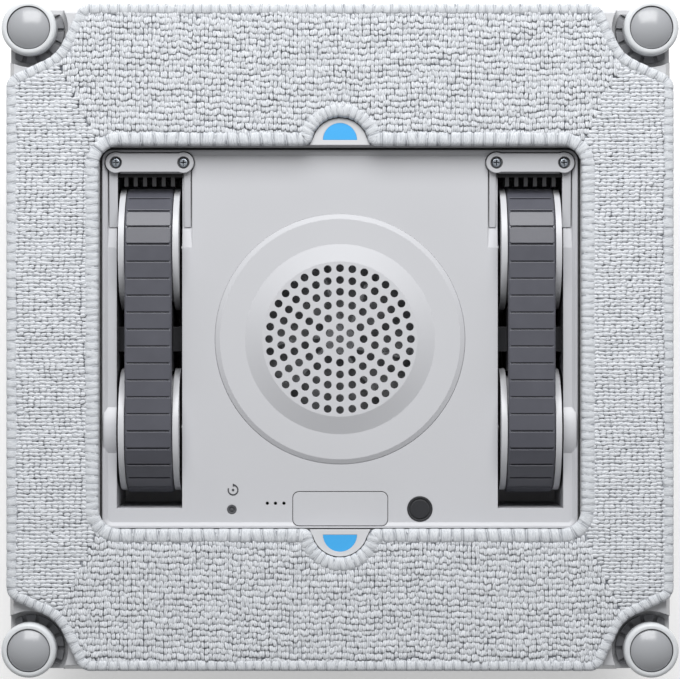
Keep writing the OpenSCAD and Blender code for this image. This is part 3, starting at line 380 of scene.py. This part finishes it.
def tread_plate():
    """One plate: a low block whose crown is bevelled, with its ends cut back in the corners."""
    half_w = BELT_W / 2 - 0.4 * MM
    half_l = 3.2 * MM
    foot = 0.9 * MM
    cut = 0.45 * MM
    levels = [(0, 0.08 * MM, -foot), (0, 0, -0.25 * MM), (0.1 * MM, 0.08 * MM, -0.06 * MM),
              (0.28 * MM, 0.24 * MM, 0)]
    points = []
    for in_x, in_y, height in levels:
        w, l = half_w - in_x, half_l - in_y
        points += [(w, -l + cut, height), (w, l - cut, height), (w - cut, l, height), (-w + cut, l, height),
                   (-w, l - cut, height), (-w, -l + cut, height), (-w + cut, -l, height),
                   (w - cut, -l, height)]
    faces = [tuple(reversed(range(8))), tuple(range(24, 32))]
    for level in range(3):
        for i in range(8):
            a = level * 8 + i
            b = level * 8 + (i + 1) % 8
            faces.append((a, b, b + 8, a + 8))
    return mesh_from("tread_plate", points, faces, smooth=False)


def tread_urethane():
    """Thermoplastic polyurethane: grey and satin, with bloom that dulls it in patches."""
    material, tree, shader, place = new_material("tread_urethane")
    bloom = add(tree, "ShaderNodeTexNoise", {"Scale": 1 / (9 * MM), "Detail": 4}, {"Vector": place})
    grit = add(tree, "ShaderNodeTexNoise", {"Scale": 1 / (0.25 * MM), "Detail": 3}, {"Vector": place})
    tone = add(tree, "ShaderNodeMix",
               {"data_type": "RGBA", 6: linear("#4d4e56"), 7: linear("#5a5b64")}, {0: bloom.outputs[0]})
    edge = add(tree, "ShaderNodeBevel", {"samples": 4, "Radius": 0.25 * MM})
    rough = add(tree, "ShaderNodeMapRange", {"To Min": 0.34, "To Max": 0.4}, {"Value": bloom.outputs[0]})
    bump = add(tree, "ShaderNodeBump", {"Strength": 0.4, "Distance": 0.03 * MM},
               {"Height": grit.outputs[0], "Normal": edge.outputs[0]})
    shader.inputs["IOR"].default_value = 1.58
    tree.links.new(tone.outputs[2], shader.inputs["Base Color"])
    tree.links.new(rough.outputs[0], shader.inputs["Roughness"])
    tree.links.new(bump.outputs[0], shader.inputs["Normal"])
    return material


def join(name, *meshes):
    """One object out of several meshes, with their materials."""
    objects = [new_object(name, mesh) for mesh in meshes]
    bpy.ops.object.select_all(action="DESELECT")
    for obj in objects:
        obj.select_set(True)
    bpy.context.view_layer.objects.active = objects[0]
    bpy.ops.object.join()
    objects[0].name = name
    return objects[0]


belt_urethane = tread_urethane()
for side, sign in (("left", -1), ("right", 1)):
    x = sign * TRACK_X
    ways = [(i + 0.5) * belt_length / PLATES for i in range(PLATES)]
    spots = [belt_place(way, BELT_R) for way in ways]
    plates = copies_of("tread_places", tread_plate(), [(x, y, WHEEL_Z + z) for y, z, _ in spots],
                       [(t, 0, 0) for _, _, t in spots], [(1, 1, 1)] * PLATES, 0, 0, 1, belt_urethane)
    band = belt_band(x)
    band.materials.append(belt_urethane)
    belt = join(side + "_tread_belt", band, plates)
    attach(belt, "root")
    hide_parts(side + "_belt")

# Wheels, shafts and pins.
# The wheels are white acetal, turned smooth by the mould, and slide well without grease. They sit
# on ground steel shafts and pins.

# Acetal: dense, a little waxy and glossier than ABS
acetal = moulded("acetal", "#cfd0d4", "#c7c8cc", 0.34, 0.5 * MM, 0.01 * MM, 0.3 * MM, ior=1.48)
finish(acetal, "left_drive_wheel", "right_drive_wheel", "left_idler_wheel", "right_idler_wheel")


def steel(name, dark, light, roughness, stretch):
    """Bare steel with fine marks drawn out along one way by grinding or drawing."""
    material, tree, shader, place = new_material(name)
    drawn = add(tree, "ShaderNodeMapping", {"Scale": stretch}, {"Vector": place})
    marks = add(tree, "ShaderNodeTexNoise", {"Scale": 1 / (0.4 * MM), "Detail": 4},
                {"Vector": drawn.outputs[0]})
    tone = add(tree, "ShaderNodeMix", {"data_type": "RGBA", 6: linear(dark), 7: linear(light)},
               {0: marks.outputs[0]})
    rough = add(tree, "ShaderNodeMapRange", {"To Min": roughness - 0.06, "To Max": roughness + 0.1},
                {"Value": marks.outputs[0]})
    bump = add(tree, "ShaderNodeBump", {"Strength": 0.3, "Distance": 0.01 * MM},
               {"Height": marks.outputs[0]})
    shader.inputs["Metallic"].default_value = 1
    tree.links.new(tone.outputs[2], shader.inputs["Base Color"])
    tree.links.new(rough.outputs[0], shader.inputs["Roughness"])
    tree.links.new(bump.outputs[0], shader.inputs["Normal"])
    return material


# Ground steel: marks run round the shaft, across X
ground_steel = steel("ground_steel", "#9a9b9e", "#b6b7ba", 0.25, (6, 0.6, 0.6))
finish(ground_steel, "left_drive_shaft", "right_drive_shaft", "left_idler_pin", "right_idler_pin")

# Cleaning pad.
# A square of looped microfibre on a knitted backing, stuck to the frame by hook tape. Its strips
# meet in mitres, and an overlocked yarn binds the outer edge and the opening.

PAD_SHIFT = 0.7
PAD_HALF = 133.7
ROLLER_C = 124.7
NOTCH_R = 15
NOTCH_LEAN = 25
PAD_EDGE_R = 6
OPEN_HALF_W = 96.7
OPEN_HALF_H = 76.7
OPEN_R = 8
TAB_R = 11.5
BACK_LOW = 71.9
BACK_TOP = 74.95
MITRE_HALF = 115
END_PITCH = (1.62, 2.4)
SIDE_PITCH = (1.5, 2.3)
LOOP_HALF = (0.92 * MM, 1.8 * MM, 0.56 * MM)
LOOP_Z = 75.15
TUCK = 0.35


def arc(cx, cy, radius, start, end, steps=14):
    turns = np.radians(np.linspace(start, end, steps + 1))
    return np.column_stack((cx + radius * np.cos(turns), cy + radius * np.sin(turns)))


def turned_copies(points, angles):
    rows = []
    for angle in angles:
        c, s = round(math.cos(math.radians(angle))), round(math.sin(math.radians(angle)))
        rows.append(np.column_stack((points[:, 0] * c - points[:, 1] * s,
                                     points[:, 0] * s + points[:, 1] * c)))
    return np.concatenate(rows)


def pad_edge(margin):
    """The pad's outer edge, drawn in by a margin, in millimetres and counter-clockwise."""
    half = PAD_HALF - margin
    radius = NOTCH_R + margin
    edge_r = PAD_EDGE_R - margin
    lean_by = math.radians(NOTCH_LEAN)
    foot = (-ROLLER_C + radius * math.cos(lean_by), ROLLER_C - radius * math.sin(lean_by))
    edge_y = half - edge_r
    edge_x = foot[0] + (edge_r + (edge_y - foot[1]) * math.sin(lean_by)) / math.cos(lean_by)
    corner = np.concatenate((arc(edge_x, edge_y, edge_r, 90, 180 - NOTCH_LEAN),
                             arc(-ROLLER_C, ROLLER_C, radius, -NOTCH_LEAN, NOTCH_LEAN - 90),
                             arc(-edge_y, -edge_x, edge_r, 90 + NOTCH_LEAN, 180)))
    return turned_copies(corner, (0, 90, 180, 270)) + (0, PAD_SHIFT)


def pad_opening(margin):
    """The opening's edge, set back by a margin, counter-clockwise, with a bulge round each tab."""
    radius = OPEN_R + margin
    bulge = TAB_R + margin
    foot = math.degrees(math.asin(margin / bulge)) if margin > 0 else 0
    cx, cy = OPEN_HALF_W - OPEN_R, OPEN_HALF_H - OPEN_R
    top = np.concatenate((arc(cx, cy, radius, 0, 90),
                          arc(0, OPEN_HALF_H, bulge, foot, 180 - foot, 24),
                          arc(-cx, cy, radius, 90, 180)))
    return turned_copies(top, (0, 180)) + (0, PAD_SHIFT)


def inside(points, ring):
    """Which points lie in a closed ring."""
    found = np.zeros(len(points), bool)
    ahead = np.roll(ring, -1, axis=0)
    for (x0, y0), (x1, y1) in zip(ring, ahead):
        if y0 == y1:
            continue
        spans = (points[:, 1] < y0) != (points[:, 1] < y1)
        cross = x0 + (points[:, 1] - y0) * (x1 - x0) / (y1 - y0)
        found ^= spans & (points[:, 0] < cross)
    return found


def backing():
    """The knitted backing, a flat closed ring with rounded edges."""
    data = bpy.data.curves.new("backing", "CURVE")
    data.dimensions = "2D"
    data.fill_mode = "BOTH"
    for ring in (pad_edge(1.2), pad_opening(1.2)):
        spline = data.splines.new("POLY")
        spline.points.add(len(ring) - 1)
        spline.use_cyclic_u = True
        for point, (x, y) in zip(spline.points, ring):
            point.co = (x * MM, y * MM, 0, 1)
    data.bevel_depth = 0.7 * MM
    data.bevel_resolution = 2
    data.extrude = ((BACK_TOP - BACK_LOW) / 2 - 0.7) * MM
    curve = new_object("backing", data)
    bpy.context.view_layer.update()
    graph = bpy.context.evaluated_depsgraph_get()
    mesh = bpy.data.meshes.new_from_object(curve.evaluated_get(graph))
    bpy.data.objects.remove(curve)
    for vertex in mesh.vertices:
        vertex.co.z += (BACK_LOW + BACK_TOP) / 2 * MM
    shell = bmesh.new()
    shell.from_mesh(mesh)
    bmesh.ops.remove_doubles(shell, verts=shell.verts, dist=1e-6)
    bmesh.ops.recalc_face_normals(shell, faces=shell.faces)
    shell.to_mesh(mesh)
    shell.free()
    return mesh


def bun(around, levels, square, bend):
    """A closed soft form inside a unit cube: square 2 is round, more is boxier, and bend arches it."""
    points = [(0, 0, -1)]
    for k in range(1, levels):
        tilt = math.pi * (k / levels - 0.5)
        for i in range(around):
            angle = 2 * math.pi * i / around
            ray = Vector((math.cos(tilt) * math.cos(angle), math.cos(tilt) * math.sin(angle),
                          math.sin(tilt)))
            length = (sum(abs(c) ** square for c in ray)) ** (-1 / square)
            points.append(tuple(ray * length))
    points.append((0, 0, 1))
    points = [(x, y, z - bend * y * y) for x, y, z in points]
    faces = [(0, 1 + (i + 1) % around, 1 + i) for i in range(around)]
    for k in range(levels - 2):
        low = 1 + k * around
        faces += [(low + i, low + (i + 1) % around, low + around + (i + 1) % around, low + around + i)
                  for i in range(around)]
    low = 1 + (levels - 2) * around
    faces += [(low + i, low + (i + 1) % around, len(points) - 1) for i in range(around)]
    return mesh_from("bun", points, faces)


def stitch_ways(length, pitch_at):
    """Where each stitch of a binding starts along its path, fitted to the path's whole length."""
    ways = [0.0]
    while ways[-1] < length:
        ways.append(ways[-1] + pitch_at(ways[-1]) * rng.uniform(0.82, 1.18))
    return np.array(ways) * (length / ways[-1])


def binding(name, ring, half_w, half_h, mid_z, pitch_at):
    """An overlocked edge: a soft roll along a ring, pinched where each stitch pulls it in."""
    ring = np.vstack((ring, ring[:1]))
    parts = np.linalg.norm(np.diff(ring, axis=0), axis=1)
    ways = np.concatenate(([0], np.cumsum(parts)))
    length = ways[-1]

    def spot(way):
        way = np.mod(way, length)
        return np.column_stack((np.interp(way, ways, ring[:, 0]), np.interp(way, ways, ring[:, 1])))

    steps = int(length / 0.42)
    along = np.arange(steps) * length / steps
    here = spot(along)
    run = spot(along + 0.8) - spot(along - 0.8)
    run /= np.linalg.norm(run, axis=1)[:, None]
    out = np.column_stack((-run[:, 1], run[:, 0]))
    starts = stitch_ways(length, lambda way: pitch_at(spot(np.array([way]))[0]))
    slant = rng.uniform(-0.5, 0.5, len(starts))
    fat = rng.uniform(-1, 1, len(starts))
    around = 16
    rows = []
    marks = []
    for k in range(around):
        turn_by = 2 * math.pi * k / around
        c, h = math.cos(turn_by), math.sin(turn_by)
        across = math.copysign(abs(c) ** 0.78, c)
        up = math.copysign(abs(h) ** 0.78, h)
        stitch = np.clip(np.searchsorted(starts, along, side="right") - 1, 0, len(starts) - 2)
        way = along + slant[stitch] * across
        stitch = np.clip(np.searchsorted(starts, way, side="right") - 1, 0, len(starts) - 2)
        start, end = starts[stitch], starts[stitch + 1]
        phase = (way - start) / (end - start)
        gap = np.minimum(np.abs(way - start), np.abs(end - way))
        pinch = 1 - 0.13 * np.exp(-(gap / 0.5) ** 2) + 0.025 * fat[stitch]
        place = here + out * (across * half_w * (0.5 + 0.5 * pinch))[:, None]
        rows.append(np.column_stack((place, mid_z + up * half_h * pinch)))
        marks.append(np.column_stack((2 * phase - 1, np.full(steps, across), stitch * 3.7 + up)))
    points = np.stack(rows, 1).reshape(-1, 3) * MM
    faces = []
    for i in range(steps):
        low, high = i * around, (i + 1) % steps * around
        for k in range(around):
            j = (k + 1) % around
            faces.append((low + k, low + j, high + j, high + k))
    mesh = mesh_from(name, points, faces)
    layer = mesh.attributes.new("strand", "FLOAT_VECTOR", "POINT")
    layer.data.foreach_set("vector", np.stack(marks, 1).reshape(-1).astype(np.float32))
    return mesh


rng = np.random.default_rng(11)


def loop_rows(across, along, sideways):
    """A jittered grid of loop places over the pad, with x and y swapped when sideways."""
    half = PAD_HALF + 4
    xs = np.arange(-half, half, across)
    ys = np.arange(-half, half, along)
    grid_x, grid_y = np.meshgrid(xs, ys, indexing="ij")
    grid_y = grid_y + along * (np.cumsum(rng.uniform(-0.14, 0.14, len(xs))) % 1)[:, None]
    points = np.column_stack((grid_x.ravel(), grid_y.ravel()))
    points += rng.uniform(-1, 1, points.shape) * (0.11 * across, 0.13 * along)
    if sideways:
        points = points[:, ::-1].copy()
    return points


upright = loop_rows(*END_PITCH, sideways=False)
level = loop_rows(*SIDE_PITCH, sideways=True)


def in_end_strip(points):
    """Whether points lie in the top or bottom strip, which meet the side strips in mitres."""
    x = np.abs(points[:, 0])
    y = np.abs(points[:, 1] - PAD_SHIFT)
    return (y - OPEN_HALF_H) * (MITRE_HALF - OPEN_HALF_W) > (x - OPEN_HALF_W) * (MITRE_HALF - OPEN_HALF_H)


upright = upright[in_end_strip(upright)]
level = level[~in_end_strip(level)]
loops = np.concatenate((upright, level))
loop_turn = np.concatenate((np.zeros(len(upright)), np.full(len(level), math.pi / 2)))
# Loops beside a binding lie lower, half under its roll
keep = inside(loops, pad_edge(3.5)) & ~inside(loops, pad_opening(4.6))
loops, loop_turn = loops[keep], loop_turn[keep]
tucked = ~inside(loops, pad_edge(5.1)) | inside(loops, pad_opening(6.3))
swell = (np.sin(loops[:, 0] * 0.31 + loops[:, 1] * 0.17) + np.sin(loops[:, 1] * 0.43 - loops[:, 0] * 0.11))
loop_places = np.column_stack((loops * MM, (LOOP_Z + 0.1 * swell - TUCK * tucked) * MM))
loop_turns = np.column_stack((np.full(len(loops), -0.1), 0.08 * swell, loop_turn))
loop_sizes = np.tile(LOOP_HALF, (len(loops), 1))


def terry():
    """Microfibre loops, matt white, with shade painted grey in a line down each loop for the cleft between
    its two strands, and low on each loop, where the pile is deep.
    """
    material, tree, shader, place = new_material("terry_microfibre")
    local_place = add(tree, "ShaderNodeAttribute", {"attribute_name": "strand"})
    parts = add(tree, "ShaderNodeSeparateXYZ", {}, {0: local_place.outputs["Vector"]})
    # Painted shade: each loop's colour turns dark grey towards its foot.
    painted_pile_shade = add(tree, "ShaderNodeMapRange", {"From Min": -0.3, "From Max": 0.5},
               {"Value": parts.outputs["Z"]})
    twist = add(tree, "ShaderNodeTexNoise", {"Scale": 1 / (1.3 * MM), "Detail": 2}, {"Vector": place})
    bent = add(tree, "ShaderNodeMath", {"operation": "MULTIPLY_ADD", 1: 1.6, 2: -0.8}, {0: twist.outputs[0]})
    aside = add(tree, "ShaderNodeMath", {"operation": "ADD"}, {0: parts.outputs["X"], 1: bent.outputs[0]})
    apart = add(tree, "ShaderNodeMath", {"operation": "ABSOLUTE"}, {0: aside.outputs[0]})
    # Painted shade: a grey line down the middle of each loop, where its two strands meet.
    painted_cleft_shade = add(tree, "ShaderNodeMapRange", {"From Min": 0.04, "From Max": 0.24, "To Min": 0.8, "To Max": 0},
                {"Value": apart.outputs[0]})
    patch = add(tree, "ShaderNodeTexNoise", {"Scale": 1 / (3.5 * MM), "Detail": 3}, {"Vector": place})
    fibre = add(tree, "ShaderNodeTexNoise", {"Scale": 1 / (0.22 * MM), "Detail": 3}, {"Vector": place})
    yarn = add(tree, "ShaderNodeMix",
               {"data_type": "RGBA", 6: linear("#d1d5da"), 7: linear("#e4e6ea")}, {0: patch.outputs[0]})
    pair = add(tree, "ShaderNodeMix", {"data_type": "RGBA", 7: linear("#a3a7ae")},
               {0: painted_cleft_shade.outputs[0], 6: yarn.outputs[2]})
    tone = add(tree, "ShaderNodeMix", {"data_type": "RGBA", 6: linear("#565a62")},
               {0: painted_pile_shade.outputs[0], 7: pair.outputs[2]})
    bump = add(tree, "ShaderNodeBump", {"Strength": 0.6, "Distance": 0.12 * MM},
               {"Height": fibre.outputs[0]})
    shader.inputs["Roughness"].default_value = 0.9
    shader.inputs["Sheen Weight"].default_value = 0.25
    shader.inputs["Sheen Roughness"].default_value = 0.5
    tree.links.new(tone.outputs[2], shader.inputs["Base Color"])
    tree.links.new(bump.outputs[0], shader.inputs["Normal"])
    return material


def overlock():
    """Overlock yarn: fine strands that run across the edge, with shade painted grey in the lines between
    them and where one stitch meets the next.
    """
    material, tree, shader, _ = new_material("overlock_yarn")
    local_place = add(tree, "ShaderNodeAttribute", {"attribute_name": "strand"})
    drawn = add(tree, "ShaderNodeMapping", {"Scale": (4.5, 0.5, 2)},
                {"Vector": local_place.outputs["Vector"]})
    strands = add(tree, "ShaderNodeTexNoise", {"Scale": 2.2, "Detail": 4, "Roughness": 0.7},
                  {"Vector": drawn.outputs[0]})
    parts = add(tree, "ShaderNodeSeparateXYZ", {}, {0: local_place.outputs["Vector"]})
    side_of = add(tree, "ShaderNodeMath", {"operation": "ABSOLUTE"}, {0: parts.outputs["X"]})
    # Painted shade: grey towards each stitch's sides, where it meets the next, and grey in the lines between
    # the strands.
    painted_stitch_shade = add(tree, "ShaderNodeMapRange", {"From Min": 1.0, "From Max": 0.6}, {"Value": side_of.outputs[0]})
    lit = add(tree, "ShaderNodeMapRange", {"From Min": 0.3, "From Max": 0.62}, {"Value": strands.outputs[0]})
    yarn = add(tree, "ShaderNodeMix",
               {"data_type": "RGBA", 6: linear("#aeb3ba"), 7: linear("#e6e9ed")}, {0: lit.outputs[0]})
    tone = add(tree, "ShaderNodeMix", {"data_type": "RGBA", 6: linear("#868a92")},
               {0: painted_stitch_shade.outputs[0], 7: yarn.outputs[2]})
    bump = add(tree, "ShaderNodeBump", {"Strength": 0.7, "Distance": 0.15 * MM},
               {"Height": strands.outputs[0]})
    shader.inputs["Roughness"].default_value = 0.8
    shader.inputs["Sheen Weight"].default_value = 0.2
    tree.links.new(tone.outputs[2], shader.inputs["Base Color"])
    tree.links.new(bump.outputs[0], shader.inputs["Normal"])
    return material


def knit():
    """The backing's knit, seen only in the gaps between the loops: rows of knit, painted dark grey for the
    shade in those gaps.
    """
    material, tree, shader, place = new_material("knitted_backing")
    rows = add(tree, "ShaderNodeTexWave", {"Scale": 1 / (1.2 * MM) / 6.3, "Distortion": 1.5},
               {"Vector": place})
    # Painted shade: both knit tones are dark grey, for the shade that falls between the loops.
    tone = add(tree, "ShaderNodeMix",
               {"data_type": "RGBA", 6: linear("#5c6068"), 7: linear("#9da1a8")}, {0: rows.outputs[1]})
    bump = add(tree, "ShaderNodeBump", {"Strength": 0.5, "Distance": 0.2 * MM},
               {"Height": rows.outputs[1]})
    shader.inputs["Roughness"].default_value = 0.95
    tree.links.new(tone.outputs[2], shader.inputs["Base Color"])
    tree.links.new(bump.outputs[0], shader.inputs["Normal"])
    return material


loop_yarn = terry()
edge_yarn = overlock()
back_knit = knit()
loop_form = bun(around=8, levels=5, square=2.4, bend=0.2)
pile = copies_of("pile", loop_form, loop_places, loop_turns, loop_sizes, lean_by=0.22, spread=0.15,
                 seed=3, material=loop_yarn)


def opening_pitch(here):
    """The stitches are long across the ends, short down the sides and closest round the tabs."""
    at_end = abs(here[1] - PAD_SHIFT) > OPEN_HALF_H - 2
    if at_end and abs(here[0]) < TAB_R + 5:
        return 2.6
    return 4.8 if at_end else 2.9


outer_roll = binding("outer_binding", pad_edge(2.3), half_w=2.35, half_h=2.0, mid_z=73.75,
                     pitch_at=lambda here: 3.8)
inner_roll = binding("inner_binding", pad_opening(2.9), half_w=2.95, half_h=1.95, mid_z=73.95,
                     pitch_at=opening_pitch)
for roll in (outer_roll, inner_roll):
    roll.materials.append(edge_yarn)
back = backing()
back.materials.clear()
back.materials.append(back_knit)
pad = join("microfibre_pad", back, pile, outer_roll, inner_roll)
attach(pad, "root")
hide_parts("cleaning_pad")

# Tabs, marks and hook tape.
# A pale ABS tab stands at the top and bottom of the opening, with a blue half disc of coloured
# plastic pressed into it. The hook tape under the pad is woven nylon.

# Pale smooth ABS
tab_abs = moulded("tab_abs", "#d9dadd", "#d2d3d6", 0.4, 0.3 * MM, 0.02 * MM, 0.4 * MM)
finish(tab_abs, "pad_tabs")
# Blue ABS, coloured through
blue_abs = moulded("blue_abs", "#3fabf0", "#4ab3f3", 0.35, 0.3 * MM, 0.01 * MM, 0.15 * MM)
finish(blue_abs, "tab_marks")


def hook_nylon():
    """Hook tape: rows of stiff nylon hooks, drawn here as a grid of small bumps 1.4 mm apart."""
    material, tree, shader, place = new_material("hook_nylon")
    cells = add(tree, "ShaderNodeTexVoronoi", {"Scale": 1 / (1.4 * MM), "Randomness": 0.15},
                {"Vector": place})
    tone = add(tree, "ShaderNodeMix",
               {"data_type": "RGBA", 6: linear("#f0f1f2"), 7: linear("#c3c5c9")}, {0: cells.outputs[0]})
    bump = add(tree, "ShaderNodeBump", {"Strength": 0.8, "Distance": 0.3 * MM, "invert": True},
               {"Height": cells.outputs[0]})
    shader.inputs["Roughness"].default_value = 0.6
    tree.links.new(tone.outputs[2], shader.inputs["Base Color"])
    tree.links.new(bump.outputs[0], shader.inputs["Normal"])
    return material


finish(hook_nylon(), "hook_strips")

# Corner rollers.
# Each corner has a dark collar with grip notches, a white roller that turns on its post and
# keeps the robot off the window frame, and a grey dome that feels the glass's edge on a spring.

# Collar: the casing's ABS, coloured darker
collar_abs = moulded("collar_abs", "#8b8c90", "#7e7f83", 0.45, 0.35 * MM, 0.03 * MM, 0.3 * MM)
# Roller: acetal, white and smooth
roller_acetal = moulded("roller_acetal", "#dcdfe2", "#d5d8db", 0.33, 0.4 * MM, 0.01 * MM, 0.4 * MM, ior=1.48)
# Dome: polished ABS, which shows the soft lamp in it
dome_abs = moulded("dome_abs", "#aaacb0", "#a4a6aa", 0.22, 0.3 * MM, 0.008 * MM, 0.3 * MM)
# Spring: drawn steel wire
spring_wire = steel("spring_wire", "#8e9094", "#b9bbbf", 0.25, (1, 1, 5))
for corner in ("top_left", "top_right", "bottom_left", "bottom_right"):
    finish(collar_abs, corner + "_collar")
    finish(roller_acetal, corner + "_roller")
    finish(dome_abs, corner + "_dome")
    finish(spring_wire, corner + "_spring")

# Buttons and status light.
# The power and start buttons are black ABS, the reset button grey ABS, and a ring of frosted
# polycarbonate round the start button carries the status light.

button_black = moulded("button_black", "#2c2d31", "#242529", 0.45, 0.25 * MM, 0.015 * MM, 0.25 * MM)
finish(button_black, "power_button", "start_button")
button_grey = moulded("button_grey", "#57585c", "#505155", 0.45, 0.25 * MM, 0.015 * MM, 0.2 * MM)
finish(button_grey, "reset_button")


def frosted_ring():
    """Frosted polycarbonate: pale blue and milky, lit from within when the robot runs."""
    material, tree, shader, place = new_material("frosted_ring")
    milk = add(tree, "ShaderNodeTexNoise", {"Scale": 1 / (2 * MM), "Detail": 2}, {"Vector": place})
    tone = add(tree, "ShaderNodeMix",
               {"data_type": "RGBA", 6: linear("#9fcfee"), 7: linear("#c4e3f6")}, {0: milk.outputs[0]})
    shader.inputs["Roughness"].default_value = 0.3
    shader.inputs["IOR"].default_value = 1.58
    shader.inputs["Subsurface Weight"].default_value = 0.2
    shader.inputs["Subsurface Radius"].default_value = (MM, MM, MM)
    tree.links.new(tone.outputs[2], shader.inputs["Base Color"])
    return material


finish(frosted_ring(), "status_light")

# Grip bar, cord gland and safety eye on the rear side.
# The bar is a nylon tube across the tray, the gland a soft nylon sleeve where the power cord goes
# in, and the eye a bent steel ring between two moulded ears.

grip_nylon = moulded("grip_nylon", "#45474c", "#3c3e43", 0.5, 0.6 * MM, 0.08 * MM, 0.3 * MM)
finish(grip_nylon, "carry_handle")
gland_nylon = moulded("gland_nylon", "#2b2c30", "#232428", 0.55, 0.4 * MM, 0.04 * MM, 0.3 * MM)
finish(gland_nylon, "cord_gland")
eye_steel = steel("eye_steel", "#a5a7ab", "#c2c4c8", 0.22, (4, 1, 1))
finish(eye_steel, "tether_ring")

# Drives and fan, inside the housing.
# Gearboxes of natural acetal, motors in nickel-plated cans, and a closed impeller of light nylon
# in a dark scroll.

gear_acetal = moulded("gear_acetal", "#c9c8bf", "#bfbeb5", 0.4, 0.5 * MM, 0.03 * MM, 0.4 * MM, ior=1.48)
finish(gear_acetal, "left_gearbox", "right_gearbox")
motor_nickel = steel("motor_nickel", "#a8a9ac", "#bfc0c3", 0.3, (1, 1, 1))
finish(motor_nickel, "left_drive_motor", "right_drive_motor", "fan_motor")
fan_nylon = moulded("fan_nylon", "#dcdde0", "#d2d3d6", 0.4, 0.4 * MM, 0.02 * MM, 0.3 * MM)
finish(fan_nylon, "impeller")
scroll_nylon = moulded("scroll_nylon", "#2c2d31", "#242529", 0.5, 0.5 * MM, 0.04 * MM, 0.4 * MM)
finish(scroll_nylon, "fan_scroll")

# Circuit board and battery.
# A glass-fibre board under green solder mask carries the buttons' switches. Four cells under blue
# shrink wrap keep the robot on the glass if the mains fails.


def solder_mask():
    """Green solder mask over copper tracks, which show through as paler lines 1.6 mm apart."""
    material, tree, shader, place = new_material("solder_mask")
    tracks = add(tree, "ShaderNodeTexBrick",
                 {"Scale": 1 / (8 * MM), "Mortar Size": 0.03, "Color1": linear("#12512f"),
                  "Color2": linear("#164f31"), "Mortar": linear("#2f7d52")}, {"Vector": place})
    shader.inputs["Roughness"].default_value = 0.35
    tree.links.new(tracks.outputs[0], shader.inputs["Base Color"])
    bump = add(tree, "ShaderNodeBump", {"Strength": 0.3, "Distance": 0.04 * MM},
               {"Height": tracks.outputs[1]})
    tree.links.new(bump.outputs[0], shader.inputs["Normal"])
    return material


finish(solder_mask(), "circuit_board")
shrink_wrap = moulded("shrink_wrap", "#2e55a6", "#28509f", 0.22, 3 * MM, 0.08 * MM, 0.5 * MM, ior=1.54)
finish(shrink_wrap, "battery_pack")

# Studio.
# A pale floor, a broad soft lamp beyond the top edge, which gives the shading down the picture,
# and a faint grey surround.

# The card lies a tenth of a millimetre down, so that it never coincides with the rear face
card_z = -0.1 * MM
floor_mesh = mesh_from("floor", [(-3, -3, card_z), (3, -3, card_z), (3, 3, card_z), (-3, 3, card_z)],
                       [(0, 1, 2, 3)])
floor = new_object("floor", floor_mesh)


def studio_floor():
    """Matt white card, lifted a little where a lens or a gloss looks at it."""
    material, tree, shader, place = new_material("studio_floor")
    fleck = add(tree, "ShaderNodeTexNoise", {"Scale": 30, "Detail": 2}, {"Vector": place})
    tone = add(tree, "ShaderNodeMix",
               {"data_type": "RGBA", 6: linear("#e9e9e9"), 7: linear("#eeeeee")}, {0: fleck.outputs[0]})
    rays = add(tree, "ShaderNodeLightPath")
    seen = add(tree, "ShaderNodeMath", {"operation": "MAXIMUM"},
               {0: rays.outputs["Is Camera Ray"], 1: rays.outputs["Is Glossy Ray"]})
    through = add(tree, "ShaderNodeMath", {"operation": "MAXIMUM"},
                  {0: seen.outputs[0], 1: rays.outputs["Is Transmission Ray"]})
    lift = add(tree, "ShaderNodeMath", {"operation": "MULTIPLY", 1: 0.35}, {0: through.outputs[0]})
    shader.inputs["Roughness"].default_value = 0.9
    shader.inputs["Specular IOR Level"].default_value = 0.1
    shader.inputs["Emission Color"].default_value = (1, 1, 1, 1)
    tree.links.new(tone.outputs[2], shader.inputs["Base Color"])
    tree.links.new(lift.outputs[0], shader.inputs["Emission Strength"])
    return material


floor_mesh.materials.append(studio_floor())


def soft_lamp(name, place, aim, width, height, power):
    data = bpy.data.lights.new(name, "AREA")
    data.shape = "RECTANGLE"
    data.size = width
    data.size_y = height
    data.energy = power
    lamp = new_object(name, data)
    lamp.location = place
    lamp.rotation_euler = (Vector(aim) - Vector(place)).to_track_quat("-Z", "Y").to_euler()


soft_lamp("top_lamp", (0, 0.95, 0.97), aim=(0, 0, 0.07), width=1.2, height=0.9, power=22.8)
world = bpy.data.worlds.new("surround")
world.use_nodes = True
sky = world.node_tree
sky_rays = add(sky, "ShaderNodeLightPath")
sky_level = add(sky, "ShaderNodeMapRange", {"To Min": 0.25, "To Max": 1},
                {"Value": sky_rays.outputs["Is Camera Ray"]})
sky.nodes["Background"].inputs["Color"].default_value = (1, 1, 1, 1)
sky.links.new(sky_level.outputs[0], sky.nodes["Background"].inputs["Strength"])
scene.world = world

# Camera, straight above the cleaning face. The rollers' front plane is 1.077 m from it.
camera = new_object("camera", bpy.data.cameras.new("camera"))
camera.location = (0, -0.16 * MM, 1.1525)
camera.data.lens = 142.5
camera.data.sensor_width = 36
scene.camera = camera
